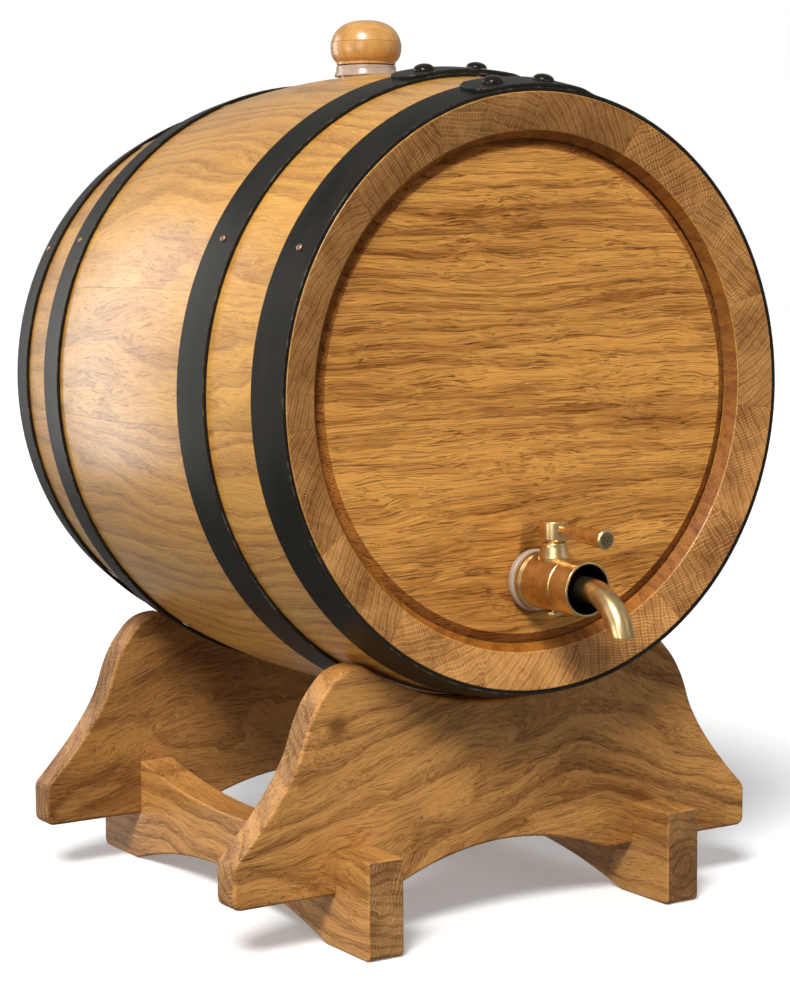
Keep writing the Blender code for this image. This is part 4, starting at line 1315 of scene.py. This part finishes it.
def rail_outline():
    """A rail from its side: flat feet, an arch below, a dip above, and the boards' notches."""
    inner = BOARD_FRONT - BOARD_THICKNESS - JOINT_GAP
    outer = BOARD_FRONT + JOINT_GAP
    steps = 14
    points = []
    for i in range(steps + 1):
        part = (i + 0.5) / (steps + 0.5)
        points.append((inner * part, RAIL_SHOULDER - RAIL_DIP * (1 - part * part)))
    notch = HALVING_HEIGHT - JOINT_GAP / 2
    points += [(inner, notch), (outer, notch), (outer, RAIL_HEIGHT)]
    points += [(RAIL_HALF_LENGTH, RAIL_HEIGHT, 0.0010), (RAIL_HALF_LENGTH, 0, 0.0022)]
    for i in range(steps):
        part = 1 - i / steps
        points.append((RAIL_ARCH_HALF_WIDTH * part, RAIL_ARCH_RISE * (1 - part * part)))
    points.append((0.0004, RAIL_ARCH_RISE))
    return points + [(-x, y, *ease) for x, y, *ease in reversed(points)]


def arched_grain(matrix, crest, rise):
    """Turns a world point into the board's frame, where the grain climbs over a crest and falls again."""
    to_board = frame_of(matrix)

    def place(point):
        x, y, z = to_board(point)
        return Vector((x, y - rise * exp(-(((x - crest) / GRAIN_ARCH_WIDTH) ** 2)), z))

    return place


def make_boards():
    crisp = in_lap(RAIL_SPACING, RAIL_WIDTH, 1)
    for name, side, pith, shift, tone, arch in (
        ("board_front", 1, (58, 22), 350, (1.0, 0.20, 1.1), (0.020, 0.022)),
        # The rear board's brightness of 0.75 is painted shade: it darkens the board that lies in the keg's
        # shadow.
        ("board_rear", -1, (66, -28), 2350, (0.75, 0.45, 1.1), (-0.015, 0.012)),
    ):
        middle = side * (BOARD_FRONT - BOARD_THICKNESS / 2)
        matrix = Matrix.Translation((0, KEG_Y - middle, 0)) @ QUARTER_TURN
        mesh = slab(board_outline(), BOARD_THICKNESS, matrix, name, crisp)
        make_plank(name, mesh, arched_grain(matrix, *arch), Vector((1, 0, 0)), pith, shift, tone)


def make_rails():
    crisp = in_lap(BOARD_FRONT - BOARD_THICKNESS / 2, BOARD_THICKNESS, -1)
    turn = Matrix.Rotation(pi / 2, 4, "Z") @ QUARTER_TURN
    for name, side, pith, shift, tone in (
        ("rail_left", -1, (62, 80), 4350, (1.0, 0.2, 1.0)),
        ("rail_right", 1, (-11, 90), 6350, (0.95, 0.2, 1.0)),
    ):
        matrix = Matrix.Translation((side * RAIL_SPACING, KEG_Y, 0)) @ turn
        mesh = slab(rail_outline(), RAIL_WIDTH, matrix, name, crisp)
        make_plank(name, mesh, frame_of(matrix), Vector((0, 1, 0)), pith, shift, tone)


# --- Stage ---


def make_camera():
    """A long lens, level with the keg's middle and well to its left."""
    azimuth, elevation, roll = map(radians, CAMERA_TURN)
    turn = Matrix.Rotation(azimuth, 4, "Z") @ Matrix.Rotation(pi / 2 - elevation, 4, "X")
    place = Matrix.Translation(KEG.translation + Vector(CAMERA_PLACE))
    data = bpy.data.cameras.new("camera")
    data.sensor_fit = "VERTICAL"
    data.sensor_height = SENSOR
    data.sensor_width = SENSOR
    data.lens = LENS
    camera = add_object("camera", data)
    camera.matrix_world = place @ turn @ Matrix.Rotation(roll, 4, "Z")
    bpy.context.scene.camera = camera


def add_light(name, kind, place, energy):
    """A light that shines at the keg's middle."""
    data = bpy.data.lights.new(name, kind)
    data.energy = energy
    light = add_object(name, data)
    light.location = place
    toward = KEG.translation - Vector(place)
    light.rotation_euler = toward.to_track_quat("-Z", "Y").to_euler()
    return light


def make_lights():
    sun = add_light("key", "SUN", SUN_PLACE, SUN_STRENGTH)
    sun.data.angle = radians(SUN_ANGLE)
    for name, place, watts, size, only_reflected in SOFTBOXES:
        light = add_light(name, "AREA", place, watts)
        light.data.shape = "RECTANGLE"
        light.data.size, light.data.size_y = size
        light.visible_diffuse = not only_reflected


def make_room():
    """A room that is lighter toward its ceiling, behind a white backdrop that only the camera sees."""
    world = bpy.data.worlds.new("studio")
    bpy.context.scene.world = world
    world.use_nodes = True
    s = Nodes(world.node_tree)
    height = s.node("SeparateXYZ", s.node("TexCoord"), out=2)
    glow = s.span(height, -0.35, 0.45, ROOM_LOW, ROOM_HIGH, smooth=False)
    room = s.tree.nodes["Background"]
    s.fill(room.inputs["Color"], (1, 1, 1))
    s.fill(room.inputs["Strength"], glow)
    backdrop = s.node("Background", (1, 1, 1), 1.0)
    mixed = s.node("MixShader", s.node("LightPath"), room.outputs[0], backdrop)
    s.fill(s.tree.nodes["World Output"].inputs["Surface"], mixed)


def make_floor():
    """A pale floor that catches shadows but lends the wood no light."""
    bm = bmesh.new()
    bmesh.ops.create_circle(bm, cap_ends=True, segments=96, radius=FLOOR_RADIUS)
    mesh = plain_mesh(bm, "floor")
    mesh.materials.append(floor_paint())
    floor = add_object("floor", mesh)
    floor.visible_diffuse = False
    floor.visible_glossy = False


make_staves()
make_heads()
make_hoops()
make_bung()
make_seal()
make_tap_body()
make_washer_and_nut()
make_spout()
make_key()
make_boards()
make_rails()
make_camera()
make_lights()
make_room()
make_floor()
bpy.context.scene.view_settings.view_transform = "Standard"
